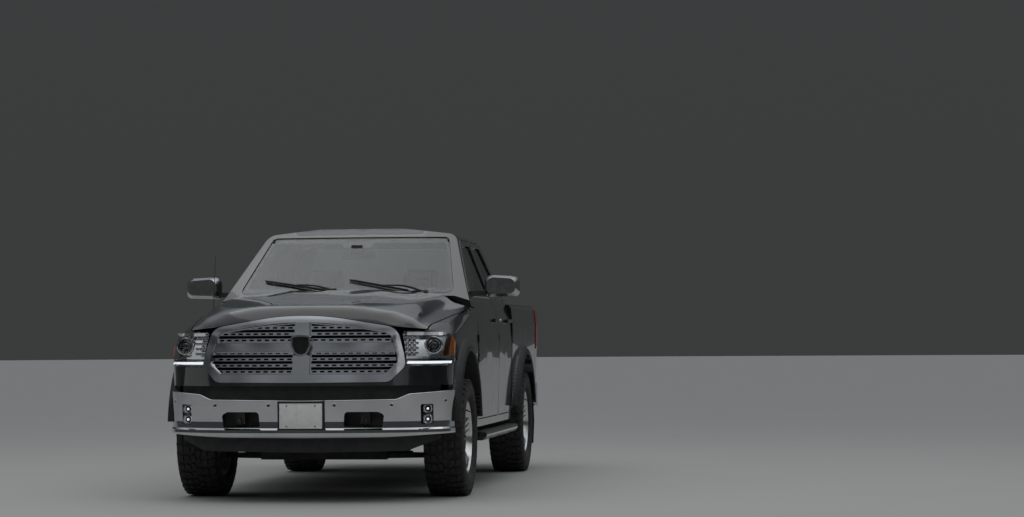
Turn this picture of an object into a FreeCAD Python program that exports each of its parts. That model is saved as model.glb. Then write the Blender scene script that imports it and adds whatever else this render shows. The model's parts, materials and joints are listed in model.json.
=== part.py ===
"""Full-size crew-cab pickup truck: ladder frame, cab, load bed, four doors, hood, tailgate and four wheels.

Millimetres. +Z is up, -Y is the way the truck drives, +X is its left side.
The origin is on the ground, midway along the length and the width.
"""
import FreeCAD, Part
import math
import os

from FreeCAD import Placement, Rotation, Vector

doc = FreeCAD.newDocument("pickup_truck")
sheet = doc.addObject("Spreadsheet::Sheet", "Sizes")

# Driving sizes: alias, value in millimetres or degrees, what it is
SIZES = [
    ("overall_length", 5817, "front bumper lip to rear bumper"),
    ("overall_height", 1958, "ground to the crown of the roof"),
    ("front_overhang", 1036, "front bumper lip to the front axle"),
    ("wheelbase", 3569, "front axle to rear axle"),
    ("track_width", 1756, "between the tyres' middle planes"),
    ("tyre_diameter", 830, "tyre outside"),
    ("tyre_section", 292, "tyre width"),
    ("rim_diameter", 545, "outside of the rim flange"),
    ("rim_depth", 236, "width over both rim flanges"),
    ("rim_wall", 9, "rim barrel"),
    ("spoke_count", 5, "spokes of a rim"),
    ("hub_radius", 74, "wheel hub pad"),
    ("arch_radius", 566, "wheel opening"),
    ("arch_height", 460, "middle of the front wheel opening"),
    ("flare_width", 92, "flare round a wheel opening"),
    ("flare_reach", 1034, "flare's outside from the middle plane"),
    ("shut_gap", 8, "gap between a moving panel and its neighbour"),
    ("seat_gap", 0.4, "clearance of a fitted piece"),
    ("skin_depth", 40, "hood and fender panel with its inner panel"),
    ("door_depth", 100, "door, skin to trim"),
    ("pillar_depth", 48, "roof pillar and window frame"),
    ("flange_depth", 12, "outer edge of a door"),
    ("flange_step", 24, "how far the door's inside is narrower"),
    ("glass_thick", 6, "window glass"),
    ("glass_set_in", 10, "glass below the outer skin"),
    ("sill_height", 520, "underside of the doors"),
    ("floor_height", 590, "top of the cab floor"),
    ("waist_height", 1031, "crease along the doors"),
    ("belt_height", 1450, "foot of the side windows"),
    ("door_top", 1866, "upper edge of the doors"),
    ("window_top", 1826, "upper edge of the side windows"),
    ("door_front", 787, "front door's leading edge behind the front axle"),
    ("front_door_length", 1186, "front door along the sill"),
    ("swing_room", 3, "front door's trailing edge set back for its swing"),
    ("rear_door_length", 792, "rear door along the sill"),
    ("cab_corner", 52, "cab behind the rear door"),
    ("bed_gap", 34, "between cab and bed"),
    ("bed_length", 1795, "bed outside, tailgate included"),
    ("bed_top", 1384, "top of the bed rails"),
    ("bed_floor", 872, "top of the load floor"),
    ("bed_inner_width", 1686, "between the bed's inner walls"),
    ("bed_floor_thick", 34, "load floor"),
    ("tailgate_thick", 52, "tailgate"),
    ("tailgate_width", 1530, "tailgate"),
    ("bumper_base", 444, "foot of the front bumper"),
    ("bumper_top", 697, "top of the front bumper in the middle"),
    ("bumper_rise", 66, "how much higher its ends are"),
    ("bumper_wall", 55, "front bumper's depth"),
    ("grille_base", 818, "foot of the grille frame"),
    ("grille_top", 1293, "top of the grille frame"),
    ("lamp_base", 925, "foot of the headlamps"),
    ("lamp_depth", 90, "headlamp, front to back"),
    ("hood_rear", 590, "hood's rear corners behind the front axle"),
    ("frame_half", 430, "frame rail from the middle plane"),
    ("rail_width", 74, "frame rail"),
    ("rail_height", 150, "frame rail"),
    ("rail_base", 420, "underside of the frame rails"),
    ("board_reach", 1032, "running board's outside from the middle plane"),
    ("board_width", 150, "running board"),
    ("board_top", 424, "top of the running boards"),
    ("board_thick", 66, "running board"),
    ("board_length", 1950, "running board"),
    ("cell_pitch", 54, "grille cells along a bar"),
    ("cell_width", 31, "grille cell"),
    ("cell_height", 12, "grille cell"),
    ("bar_pitch", 42, "grille bars, one above the other"),
    ("bar_height", 23, "grille bar"),
    ("handle_height", 1250, "door handles' middle"),
    ("handle_length", 214, "door handle"),
    ("mirror_reach", 1262, "mirror's outside from the middle plane"),
    ("mirror_base", 1418, "underside of the mirrors"),
    ("mirror_height", 168, "mirror housing"),
    ("axle_tube_radius", 42, "rear axle tube"),
    ("disc_radius", 168, "brake disc"),
    ("steer_offset", 158, "steering axis inboard of the tyre's middle"),
    ("receiver_inside", 51, "hitch receiver's square opening"),
    ("receiver_wall", 6.35, "hitch receiver's wall"),
    ("pin_bore", 16.4, "hitch pin hole"),
    ("hitch_height", 470, "hitch receiver's middle"),
    ("cross_tube_radius", 38, "tube that carries the hitch receiver"),
    ("spindle_radius", 34, "wheel spindles of the rear axle"),
    ("pumpkin_radius", 150, "rear differential housing"),
    ("plate_width", 320, "number plate holder"),
    ("plate_height", 196, "number plate holder"),
    ("plate_base", 495, "foot of the number plate holder"),
]
# Places that the document objects share: alias, formula on the driving sizes, what it is
PLACES = [
    ("front_y", "=-overall_length / 2", "front bumper lip"),
    ("rear_y", "=overall_length / 2", "rear bumper"),
    ("axle_rear_y", "=front_y + front_overhang + wheelbase", "rear axle"),
    ("cab_rear_y", "=front_y + front_overhang + door_front + front_door_length + shut_gap + rear_door_length + cab_corner",
     "back of the cab"),
    ("bed_rear_y", "=cab_rear_y + bed_gap + bed_length", "back of the load bed"),
    ("half_track", "=track_width / 2", "tyre's middle plane"),
    ("hub_height", "=tyre_diameter / 2", "wheel's middle above the ground"),
    ("rail_side", "=frame_half + rail_width / 2", "outer face of a frame rail"),
    ("receiver_half", "=receiver_inside / 2 + receiver_wall", "hitch receiver, half its outside"),
]
for row, (alias, value, note) in enumerate(SIZES + PLACES, 1):
    sheet.set(f"A{row}", note)
    sheet.set(f"B{row}", str(value))
    sheet.setAlias(f"B{row}", alias)
doc.recompute()


def size(alias):
    """A driving size, read from the sheet."""
    return float(sheet.get(alias))


# Places worked out from the driving sizes
FRONT = -size("overall_length") / 2
REAR = size("overall_length") / 2
AXLE_F = FRONT + size("front_overhang")
AXLE_R = AXLE_F + size("wheelbase")
HUB_Z = size("tyre_diameter") / 2
HALF_TRACK = size("track_width") / 2
GAP = size("shut_gap")
SEAT = size("seat_gap")
DOOR_Y0 = AXLE_F + size("door_front")
DOOR_Y1 = DOOR_Y0 + size("front_door_length")
DOOR_Y2 = DOOR_Y1 + GAP
DOOR_Y3 = DOOR_Y2 + size("rear_door_length")
CAB_REAR = DOOR_Y3 + size("cab_corner")
BED_FRONT = CAB_REAR + size("bed_gap")
BED_REAR = BED_FRONT + size("bed_length")
BELT = size("belt_height")
WAIST = size("waist_height")
ROOF = size("overall_height")
HOOD_Y1 = AXLE_F + size("hood_rear")
SILL = size("sill_height")
FLOOR = size("floor_height")
DOOR_TOP = size("door_top")
WINDOW_TOP = size("window_top")
WINDOW_FOOT = BELT + 24
GRILLE_BASE = size("grille_base")
GRILLE_TOP = size("grille_top")
BUMPER_BASE = size("bumper_base")
BUMPER_TOP = size("bumper_top")


def corner_wire(corners, at):
    """Closed wire of straight runs and tangent arcs. corners: (u, v, radius); at turns (u, v) into a point."""
    edges = []
    ends = []
    n = len(corners)
    for i in range(n):
        u, v, radius = corners[i]
        here = Vector(u, v, 0)
        before = Vector(corners[i - 1][0], corners[i - 1][1], 0) - here
        after = Vector(corners[(i + 1) % n][0], corners[(i + 1) % n][1], 0) - here
        turn = math.pi - before.getAngle(after)
        if radius <= 0 or turn < 1e-3:
            ends.append((here, None, here))
            continue
        before_unit = Vector(before).normalize()
        after_unit = Vector(after).normalize()
        reach = radius * math.tan(turn / 2)
        reach = min(reach, 0.49 * before.Length, 0.49 * after.Length)
        radius = reach / math.tan(turn / 2)
        bisector = (before_unit + after_unit).normalize()
        to_centre = math.hypot(radius, reach)
        middle = here + bisector * (to_centre - radius)
        ends.append((here + before_unit * reach, middle, here + after_unit * reach))
    for i in range(n):
        start, middle, end = ends[i]
        if middle is not None:
            edges.append(Part.Arc(at(start), at(middle), at(end)).toShape())
        following = ends[(i + 1) % n][0]
        if (following - end).Length > 1e-6:
            edges.append(Part.LineSegment(at(end), at(following)).toShape())
    return Part.Wire(edges)


def mirrored(half):
    """A closed outline from its half with u >= 0, listed from the bottom to the top."""
    return half + [(-u, v, r) for u, v, r in reversed(half) if u > 1e-6]


def across(y):
    return lambda p: Vector(p.x, y, p.y)


def side_on(x):
    return lambda p: Vector(x, p.x, p.y)


def level(z):
    return lambda p: Vector(p.x, p.y, z)


def front_prism(corners, y0, y1):
    """Outline in X and Z, drawn out along Y."""
    return Part.Face(corner_wire(corners, across(y0))).extrude(Vector(0, y1 - y0, 0))


def side_prism(corners, x0, x1):
    """Outline in Y and Z, drawn out along X."""
    return Part.Face(corner_wire(corners, side_on(x0))).extrude(Vector(x1 - x0, 0, 0))


def plan_prism(corners, z0, z1):
    """Outline in X and Y, drawn out along Z."""
    return Part.Face(corner_wire(corners, level(z0))).extrude(Vector(0, 0, z1 - z0))


def loft(wires, ruled=False):
    return Part.makeLoft(wires, True, ruled)


def block(x0, x1, y0, y1, z0, z1):
    return Part.makeBox(x1 - x0, y1 - y0, z1 - z0, Vector(x0, y0, z0))


def rod(start, end, radius):
    axis = Vector(*end) - Vector(*start)
    return Part.makeCylinder(radius, axis.Length, Vector(*start), axis)


def turned(corners):
    """Ring turned about the X axis through the wheel's middle; corners: (x, radius, corner radius)."""
    face = Part.Face(corner_wire(corners, lambda p: Vector(p.x, 0, p.y)))
    return face.revolve(Vector(0, 0, 0), Vector(1, 0, 0), 360)


def opposite(shape):
    """The same piece on the truck's other side."""
    return shape.mirror(Vector(0, 0, 0), Vector(1, 0, 0))


def fused(*shapes):
    return shapes[0].multiFuse(list(shapes[1:])).removeSplitter()


def inset(corners, d):
    """An outline in Y and Z or X and Z moved inwards by d, corner by corner (convex outlines)."""
    n = len(corners)
    area = sum(corners[i][0] * corners[(i + 1) % n][1] - corners[(i + 1) % n][0] * corners[i][1] for i in range(n))
    sense = 1 if area > 0 else -1
    moved = []
    for i in range(n):
        here = Vector(corners[i][0], corners[i][1], 0)
        before = (here - Vector(corners[i - 1][0], corners[i - 1][1], 0)).normalize()
        after = (Vector(corners[(i + 1) % n][0], corners[(i + 1) % n][1], 0) - here).normalize()
        n1 = Vector(-before.y, before.x, 0) * sense
        n2 = Vector(-after.y, after.x, 0) * sense
        shift = (n1 + n2) * (d / (1 + n1.dot(n2)))
        moved.append((here.x + shift.x, here.y + shift.y, max(corners[i][2] - d, 1.0) if corners[i][2] > 0 else 0))
    return moved


def bound(kind, label, place, turn=None, **sizes):
    """A Part primitive whose place and sizes are expressions on the sheet."""
    piece = doc.addObject("Part::" + kind, label)
    if turn:
        piece.Placement = Placement(Vector(), Rotation(*turn))
    for axis, text in zip("xyz", place):
        piece.setExpression("Placement.Base." + axis, text)
    for name, text in sizes.items():
        piece.setExpression(name, text)
    return piece


def bound_block(label, x, y, z):
    """A Part box between two expressions along each axis."""
    ends = dict(zip(("Length", "Width", "Height"), (x, y, z)))
    return bound("Box", label, (x[0], y[0], z[0]), **{name: f"({high}) - ({low})" for name, (low, high) in ends.items()})


def bound_tube(label, x, y, z, radius):
    """A Part cylinder along X between two expressions."""
    return bound("Cylinder", label, (x[0], y, z), (Vector(0, 1, 0), 90), Height=f"({x[1]}) - ({x[0]})", Radius=radius)


def united(label, *pieces):
    """The fusion of document objects."""
    whole = doc.addObject("Part::MultiFuse", label)
    whole.Shapes = list(pieces)
    whole.Refine = True
    return whole


def carved(label, base, tool):
    """One document object less another."""
    rest = doc.addObject("Part::Cut", label)
    rest.Base = base
    rest.Tool = tool
    return rest


NODES = []


def node(label, *solids):
    """One sub-part: a feature whose shape holds its solids."""
    shape = solids[0] if len(solids) == 1 else Part.makeCompound(list(solids))
    feature = doc.addObject("Part::Feature", label)
    feature.Label = label
    feature.Shape = shape
    NODES.append(feature)
    return feature


# Cab: one cross-section from sill to roof, drawn along the cab.
# Columns: y, sides wider by, roof rail height, roof crown height.
CAB_STATIONS = [
    (DOOR_Y0 - 420, -6, ROOF - 84, ROOF - 46),
    (DOOR_Y0 + 900, 2, ROOF - 46, ROOF),
    (CAB_REAR + 10, -2, ROOF - 66, ROOF - 28),
]
SLOPE = math.atan2(ROOF - 58 - (BELT - 20), 825)


def cab_volume(side, pillar, roof, foot):
    """The cab's outside moved inwards: side below the belt, pillar above it, roof on top; foot is its underside."""
    wires = []
    for y, wide, rail_z, crown_z in CAB_STATIONS:
        half = [
            (966 + wide - side, foot, 0),
            (984 + wide - side, WAIST, 0),
            (974 + wide - side, WAIST + 212, 150),
            (928 + wide - side, BELT - 55, 70),
            (902 + wide - max(pillar, side * 0.6), BELT, 0),
            (722 + wide - pillar, rail_z - roof, 90 - roof),
            (330, crown_z - roof, 900),
        ]
        wires.append(corner_wire(mirrored(half), across(y)))
    return loft(wires)


def windscreen_front(back):
    """Everything ahead of the windscreen's outside, that surface moved back by the given amount along Y."""
    foot_z, top_z = BELT - 20, ROOF - 58
    foot = [(-820, DOOR_Y0 - 105), (0, DOOR_Y0 - 300), (820, DOOR_Y0 - 105)]
    head = [(-716, DOOR_Y0 + 615), (0, DOOR_Y0 + 525), (716, DOOR_Y0 + 615)]
    wires = []
    for share in (-0.35, 1.3):
        z = foot_z + (top_z - foot_z) * share
        left, middle, right = [
            Vector(f[0] + (h[0] - f[0]) * share, f[1] + (h[1] - f[1]) * share + back, z)
            for f, h in zip(foot, head)
        ]
        arc = Part.Arc(left, middle, right).toShape()
        lead_in = 260 * (arc.tangentAt(arc.FirstParameter)).normalize()
        lead_out = 260 * (arc.tangentAt(arc.LastParameter)).normalize()
        start = left - lead_in
        end = right + lead_out
        ahead = [Vector(end.x, FRONT - 600, z), Vector(start.x, FRONT - 600, z)]
        runs = [(start, left), (right, end), (end, ahead[0]), (ahead[0], ahead[1]), (ahead[1], start)]
        lines = [Part.LineSegment(a, b).toShape() for a, b in runs]
        wires.append(Part.Wire([lines[0], arc] + lines[1:]))
    return loft(wires, ruled=True)


def back_window_rear(forward):
    """Everything behind the cab's sloping back, moved forward by the given amount."""
    outline = [
        (CAB_REAR - forward, BELT - 10, 0),
        (CAB_REAR - 88 - forward, ROOF - 70, 0),
        (CAB_REAR - 130 - forward, ROOF + 60, 0),
        (CAB_REAR + 400, ROOF + 60, 0),
        (CAB_REAR + 400, 300, 0),
        (CAB_REAR - forward, 300, 0),
    ]
    return side_prism(outline, -1200, 1200)


cab_outer = cab_volume(0, 0, 0, SILL - 60).cut([
    windscreen_front(0),
    back_window_rear(0),
    block(-1200, 1200, FRONT, DOOR_Y0 - 112, 300, BELT - 22),
    block(-1200, 1200, FRONT, DOOR_Y0 - GAP, 300, BELT - 105),
])
cab_room = cab_volume(size("door_depth"), size("pillar_depth"), 45, size("floor_height"))
cab_inner = cab_room.cut([
    windscreen_front(size("pillar_depth") / math.sin(SLOPE)),
    back_window_rear(size("pillar_depth")),
    block(-1200, 1200, FRONT, DOOR_Y0 + 40, 300, BELT - 60),
])
cab_walls = cab_outer.cut(cab_inner)

# Doors and side windows, outlines in Y and Z
DOOR_TAIL = DOOR_Y1 - size("swing_room")
front_door_outline = [
    (DOOR_Y0, SILL, 70),
    (DOOR_Y0, BELT - 60, 25),
    (DOOR_Y0 + 48, BELT + 2, 40),
    (DOOR_Y0 + 690, DOOR_TOP, 90),
    (DOOR_TAIL, DOOR_TOP, 22),
    (DOOR_TAIL, SILL, 50),
]
rear_door_outline = [
    (DOOR_Y2, SILL, 50),
    (DOOR_Y2, DOOR_TOP, 22),
    (DOOR_Y3 - 212, DOOR_TOP, 120),
    (DOOR_Y3 - 20, BELT + 40, 90),
    (DOOR_Y3, BELT - 150, 120),
    (DOOR_Y3, SILL + 180, 60),
    (DOOR_Y3 - 70, SILL, 60),
]
front_window_outline = [
    (DOOR_Y0 + 150, WINDOW_FOOT, 20),
    (DOOR_Y0 + 712, WINDOW_TOP, 70),
    (DOOR_Y1 - 48, WINDOW_TOP, 25),
    (DOOR_Y1 - 48, WINDOW_FOOT, 20),
]
rear_window_outline = [
    (DOOR_Y2 + 46, WINDOW_FOOT, 20),
    (DOOR_Y2 + 46, WINDOW_TOP, 25),
    (DOOR_Y3 - 236, WINDOW_TOP, 70),
    (DOOR_Y3 - 74, WINDOW_FOOT, 30),
]
left_zone = block(520, 1200, DOOR_Y0 - 60, DOOR_Y3 + 40, SILL - 40, DOOR_TOP + 40)
left_wall = cab_walls.common(left_zone)
behind_doors = cab_room.fuse(block(400, 866, DOOR_Y0 - 80, DOOR_Y3 + 60, 300, FLOOR)).common(
    block(400, 1200, DOOR_Y0 - 80, DOOR_Y3 + 60, 300, 2000))
left_core = cab_volume(*[size("flange_depth")] * 3, 300).common(left_zone)
left_glass = cab_volume(*[size("glass_set_in")] * 3, 300).common(left_zone).cut(
    cab_volume(*[size("glass_set_in") + size("glass_thick")] * 3, 300)
)
HINGE_X = 981.5
HINGE_R = 3.4
HINGE_HEIGHTS = (940, 1080)


def hinge_leaves(y, reach_in, web):
    """Pin barrels in the gap ahead of a door: the fixed halves and the door's halves."""
    fixed = []
    moving = []
    for z in HINGE_HEIGHTS:
        fixed.append(rod((HINGE_X, y, z), (HINGE_X, y, z + 30), HINGE_R))
        fixed.append(block(HINGE_X - reach_in, HINGE_X - 1, y - web[0], y + web[1], z, z + 30))
        moving.append(rod((HINGE_X, y, z + 30.3), (HINGE_X, y, z + 60), HINGE_R))
        moving.append(block(HINGE_X - 13, HINGE_X - 2, y, y + GAP / 2 + 1, z + 30.3, z + 60))
    return fixed, moving


def handle(rear_y):
    """Bow handle on a left door, by the place of its rear foot."""
    front_y = rear_y - size("handle_length")
    low, high = size("handle_height") - 14, size("handle_height") + 14
    bow = plan_prism([(950, front_y, 0), (1006, front_y + 8, 18), (1006, rear_y - 8, 18), (950, rear_y, 0)], low, high)
    grip = plan_prism([(950, front_y + 30, 0), (993, front_y + 34, 14), (993, rear_y - 34, 14), (950, rear_y - 30, 0)],
                      low - 5, high + 5)
    return bow.cut([grip, cab_volume(30, 30, 30, 300)])


openings = []
fixed_hinges = {}
for name, door_outline, window_outline, hinge_y, web in (
    ("front", front_door_outline, front_window_outline, DOOR_Y0 - GAP / 2, (16, (GAP / 2 + 1, 0))),
    ("rear", rear_door_outline, rear_window_outline, DOOR_Y2 - GAP / 2, (32, (1.5, 1.5))),
):
    fixed_hinges[name], moving = hinge_leaves(hinge_y, *web)
    opening = side_prism(inset(door_outline, -GAP), 500, 1200).cut(behind_doors)
    openings += [opening, opposite(opening)]
    rim = side_prism(door_outline, 500, 1200).cut(side_prism(inset(door_outline, size("flange_step")), 400, 1300))
    door = left_wall.common(side_prism(door_outline, 500, 1200))
    door = door.cut([behind_doors, rim.common(left_core), side_prism(window_outline, 400, 1200)])
    door = fused(door, handle(door_outline[-1][0] + (70 if name == "rear" else 0) - 64), *moving)
    glass = left_glass.common(side_prism(inset(window_outline, SEAT), 400, 1200))
    node(f"door_{name}_left", door)
    node(f"door_{name}_right", opposite(door))
    node(f"glass_{name}_left", glass)
    node(f"glass_{name}_right", opposite(glass))

windscreen_outline = mirrored([(806, BELT - 4, 40), (680, ROOF - 70, 50)])
back_outline = mirrored([(700, BELT + 50, 60), (610, ROOF - 120, 60)])
openings.append(front_prism(windscreen_outline, DOOR_Y0 - 500, DOOR_Y0 + 760))
openings.append(front_prism(back_outline, CAB_REAR - 260, CAB_REAR + 60))
floor_tunnel = block(-size("frame_half") - 110, size("frame_half") + 110, FRONT, REAR, 300, FLOOR - 30)
centre_pillar = left_wall.common(cab_volume(*[size("flange_depth") + 6] * 3, 300)).common(
    block(520, 1200, DOOR_Y1 - size("flange_step") + 14, DOOR_Y2 + size("flange_step") - 6, SILL - 30, DOOR_TOP + 30)
)
centre_pillar = fused(centre_pillar, *fixed_hinges["rear"])
cab_shell = fused(cab_walls.cut(openings + [floor_tunnel]), centre_pillar, opposite(centre_pillar))
set_back = size("glass_set_in") / 2 / math.sin(SLOPE)
thick_back = size("glass_thick") / math.sin(SLOPE)
windscreen = windscreen_front(set_back + thick_back).cut(windscreen_front(set_back))
windscreen = windscreen.common(front_prism(inset(windscreen_outline, SEAT), DOOR_Y0 - 500, DOOR_Y0 + 760))
back_glass = back_window_rear(size("glass_set_in")).cut(
    back_window_rear(size("glass_set_in") - size("glass_thick"))
)
back_glass = back_glass.common(front_prism(inset(back_outline, SEAT), CAB_REAR - 260, CAB_REAR + 60))
node("cab_shell", cab_shell)
node("cab_glass", windscreen, back_glass)
print("cab", cab_shell.isValid(), len(cab_shell.Solids), round(cab_shell.Volume / 1e9, 3))

# Front clip: hood, fenders and nose panel are one shell. Cross-sections from the nose to the doors.
# Columns: y, side x, fender edge x and z, hood shoulder x and z, crown z.
CLIP_STATIONS = [
    (FRONT - 60, 982, 920, 1142, 654, 1226, 1306),
    (AXLE_F - 560, 988, 926, 1190, 716, 1338, 1374),
    (AXLE_F + 40, 984, 922, 1286, 738, 1404, 1438),
    (DOOR_Y0 - GAP, 978, 914, 1370, 786, 1446, 1492),
]
# The nose in plan. Columns: x, behind the bumper lip, how much lower the hood rolls over there.
NOSE_PLAN = [
    (0, 0, 0),
    (200, 5, 4),
    (400, 24, 18),
    (560, 56, 42),
    (700, 106, 84),
    (820, 176, 144),
    (910, 262, 190),
    (972, 370, 222),
    (1006, 500, 240),
    (1018, 640, 246),
]
NOSE_LEVELS = (300, 640, 900, 1080, 1160, 1200, 1235, 1265, 1295, 1325, 1355, 1390)
NOSE_LEAN = 0.21
ROLL_START = 1238
ROLL = 116


def clip_volume(skin, foot):
    wires = []
    for y, side, edge_x, edge_z, shoulder_x, shoulder_z, crown in CLIP_STATIONS:
        rise = shoulder_z - edge_z
        half = [
            (968 - skin, foot, 0),
            (side - skin, WAIST, 0),
            (side - 8 - skin, edge_z - 70, 60),
            (edge_x - skin, edge_z - skin * 0.3, 44),
            (shoulder_x + 60 - skin * 0.6, edge_z + rise * 0.36 - skin, 90),
            (shoulder_x - skin * 0.4, shoulder_z - skin, 90),
            (shoulder_x * 0.45, crown - skin, 900),
        ]
        wires.append(corner_wire(mirrored(half), across(y)))
    return loft(wires)


def set_back(z, drop):
    """How far the nose surface lies back at a height: it leans, then rolls over into the hood."""
    over = z + drop - ROLL_START
    back = (z - GRILLE_BASE) * NOSE_LEAN
    if over <= 0:
        return back
    if over < ROLL * 0.95:
        return back + ROLL - math.sqrt(ROLL ** 2 - over ** 2)
    edge = ROLL * 0.95
    return back + ROLL - math.sqrt(ROLL ** 2 - edge ** 2) + (over - edge) * 3.04


def nose_wire(z, shifts, reach):
    """The nose's plan at one height; shifts are how far each point lies back, reach is its half width."""
    scale = reach / NOSE_PLAN[-1][0]
    half = [(x * scale, FRONT + y + shift) for (x, y, _), shift in zip(NOSE_PLAN, shifts)]
    points = [Vector(-x, y, z) for x, y in reversed(half[1:])] + [Vector(x, y, z) for x, y in half]
    curve = Part.BSplineCurve()
    curve.interpolate(Points=points, InitialTangent=Vector(0, -1, 0), FinalTangent=Vector(0, 1, 0))
    corners = [points[-1], Vector(reach, FRONT + 2400, z), Vector(-reach, FRONT + 2400, z), points[0]]
    sides = [Part.LineSegment(a, b).toShape() for a, b in zip(corners, corners[1:])]
    return Part.Wire([curve.toShape()] + sides)


NOSE_SURFACE = loft([
    nose_wire(z, [set_back(z, drop) for _, _, drop in NOSE_PLAN], NOSE_PLAN[-1][0]) for z in NOSE_LEVELS
])
# The hood rises above the nose surface well behind it, so a block carries on from there.
NOSE_SURFACE = NOSE_SURFACE.fuse(
    block(-NOSE_PLAN[-1][0], NOSE_PLAN[-1][0], FRONT + 500, FRONT + 2400, NOSE_LEVELS[-1], 1600))


def nose_volume(back):
    """Everything behind the leaning nose surface, moved back by the given amount."""
    moved = NOSE_SURFACE.copy()
    moved.translate(Vector(0, back, 0))
    return moved


def nose_layer(near, far):
    """The layer between two nose surfaces."""
    return nose_volume(near).cut(nose_volume(far))


def nose_stack(profile, reach):
    """Body with the nose's plan, by its profile; profile: (height, how far back)."""
    return loft([nose_wire(z, [back] * len(NOSE_PLAN), reach) for z, back in profile], ruled=True)


SKIN = size("skin_depth")
NOSE_BACK = 22
clip_shell = clip_volume(0, SILL + 20).common(nose_volume(NOSE_BACK)).cut(
    clip_volume(SKIN, 310).common(nose_volume(NOSE_BACK + SKIN))
)
cowl_cut = block(-1200, 1200, DOOR_Y0 - 112 - GAP, DOOR_Y0 + 60, BELT - 105 - GAP, 1700)
scuttle_cut = plan_prism(
    mirrored([(0, DOOR_Y0 - 420, 2400), (700, DOOR_Y0 - 340, 300), (944, DOOR_Y0 - 262, 0), (944, DOOR_Y0 - 206, 0),
              (904, DOOR_Y0 - 190, 0), (904, DOOR_Y0 + 60, 0)]),
    BELT - 140, 1700,
)
hood_half = [
    (0, FRONT - 200, 0),
    (806, FRONT - 200, 0),
    (820, AXLE_F - 730, 400),
    (926, AXLE_F + 170, 900),
    (926, HOOD_Y1 - 60, 30),
    (700, DOOR_Y0 - 300, 200),
    (0, DOOR_Y0 - 386, 2400),
]
hood_plan = mirrored(hood_half)
hood_front = mirrored([(0, GRILLE_TOP + GAP, 2500), (640, 1196, 120), (830, 1178, 40), (1100, 1178, 0), (1100, 1700, 0)])
clip_shell = clip_shell.cut([cowl_cut])
hood_zone = plan_prism(hood_plan, 900, 1700).common(front_prism(hood_front, FRONT - 200, DOOR_Y0))
hood_hole = plan_prism(inset(hood_plan, -GAP), 900, 1700).common(
    front_prism(inset(hood_front, -GAP), FRONT - 200, DOOR_Y0)
)
hood = clip_shell.common(hood_zone)

# Grille, lamps and bumper in front view, half outlines from the bottom to the top
grille_half = [(0, GRILLE_BASE, 0), (598, GRILLE_BASE + 4, 70), (700, 930, 60), (688, 1010, 60), (640, 1190, 110),
               (0, GRILLE_TOP + 6, 2600)]
grille_hole_half = [(0, 874, 0), (570, 874, 50), (652, 948, 40), (642, 1010, 40), (596, 1160, 70), (0, 1250, 2600)]
lamp_outline = [(708, 926, 20), (950, 926, 30), (1003, 985, 30), (1003, 1020, 20), (966, 1150, 60), (820, 1168, 60),
                (668, 1168, 20)]
grille_outline = mirrored(grille_half)
grille_hole = mirrored(grille_hole_half)
lamp_block = front_prism(lamp_outline, FRONT, AXLE_F - 420)
arch_cutter = Part.makeCylinder(size("arch_radius"), 500, Vector(700, AXLE_F, size("arch_height")), Vector(1, 0, 0))
grille_gap = front_prism(inset(grille_outline, -SEAT), FRONT - 200, AXLE_F - 700)
lamp_gap = front_prism(inset(lamp_outline, -SEAT), FRONT - 200, AXLE_F - 400)
split_y = AXLE_F - size("arch_radius") - 2 * GAP
skin_cuts = [hood_hole, grille_gap, lamp_gap, opposite(lamp_gap), arch_cutter, opposite(arch_cutter), scuttle_cut]
painted = clip_shell.cut(skin_cuts)
nose_panel = painted.common(block(-1200, 1200, FRONT - 300, split_y - 5, GRILLE_BASE - 21, size("lamp_base") + 60))
fender_zone = block(100, 1200, split_y, 0, 300, 1500).fuse(block(812, 1200, FRONT, split_y + 5, 1120, 1500))
FLARE_X = size("flare_reach")
ARCH_R = size("arch_radius")
FLARE_R = ARCH_R + size("flare_width")


def flare(y, z, foot):
    """Band round a wheel opening of the left side, standing out from it."""
    band = turned([(942, ARCH_R, 0), (FLARE_X - 7, ARCH_R, 5), (FLARE_X, ARCH_R + 9, 8), (FLARE_X - 5, ARCH_R + 34, 50),
                   (FLARE_X - 36, FLARE_R - 22, 50), (972, FLARE_R, 0), (942, FLARE_R, 0)])
    band.translate(Vector(0, y, z))
    return band.common(block(900, 1100, y - 800, y + 800, foot, 1500))


bumper_end = block(800, 1200, FRONT, split_y - 2, 300, size("bumper_top") + size("bumper_rise") + GAP)
front_flare = flare(AXLE_F, size("arch_height"), SILL + 24).cut([lamp_gap, bumper_end])
fender = fused(painted.common(fender_zone), front_flare, *fixed_hinges["front"])
lamps = lamp_block.common(nose_layer(NOSE_BACK - 3, NOSE_BACK + size("lamp_depth"))).common(clip_volume(1, 310))
print("clip", [(n, v.isValid(), len(v.Solids)) for n, v in
               (("hood", hood), ("nose", nose_panel), ("fender", fender), ("lamps", lamps))])

# Hood hinges: pins carried by the cowl behind the hood, eyes on the hood's rear corners
PIN_Y = HOOD_Y1 - 42
PIN_Z = 1330
lug = side_prism([(PIN_Y - 14, PIN_Z - 14, 12), (PIN_Y + 14, PIN_Z - 14, 12), (PIN_Y + 14, PIN_Z + 14, 12),
                  (PIN_Y - 60, 1400, 0), (PIN_Y - 110, 1400, 0), (PIN_Y - 110, 1340, 20)], 872, 884)
lug = lug.cut([rod((800, PIN_Y, PIN_Z), (900, PIN_Y, PIN_Z), 6.06), clip_volume(-300, 310).cut(clip_volume(SKIN / 2, 200))])
hood = fused(hood, lug, opposite(lug))
cowl_tray = plan_prism(
    mirrored([(0, DOOR_Y0 - 378, 2400), (700, DOOR_Y0 - 292, 300), (744, DOOR_Y0 - 274, 0), (780, DOOR_Y0 - 230, 0),
              (780, DOOR_Y0 - 112 - SEAT, 0)]), 1364, 1384)
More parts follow.
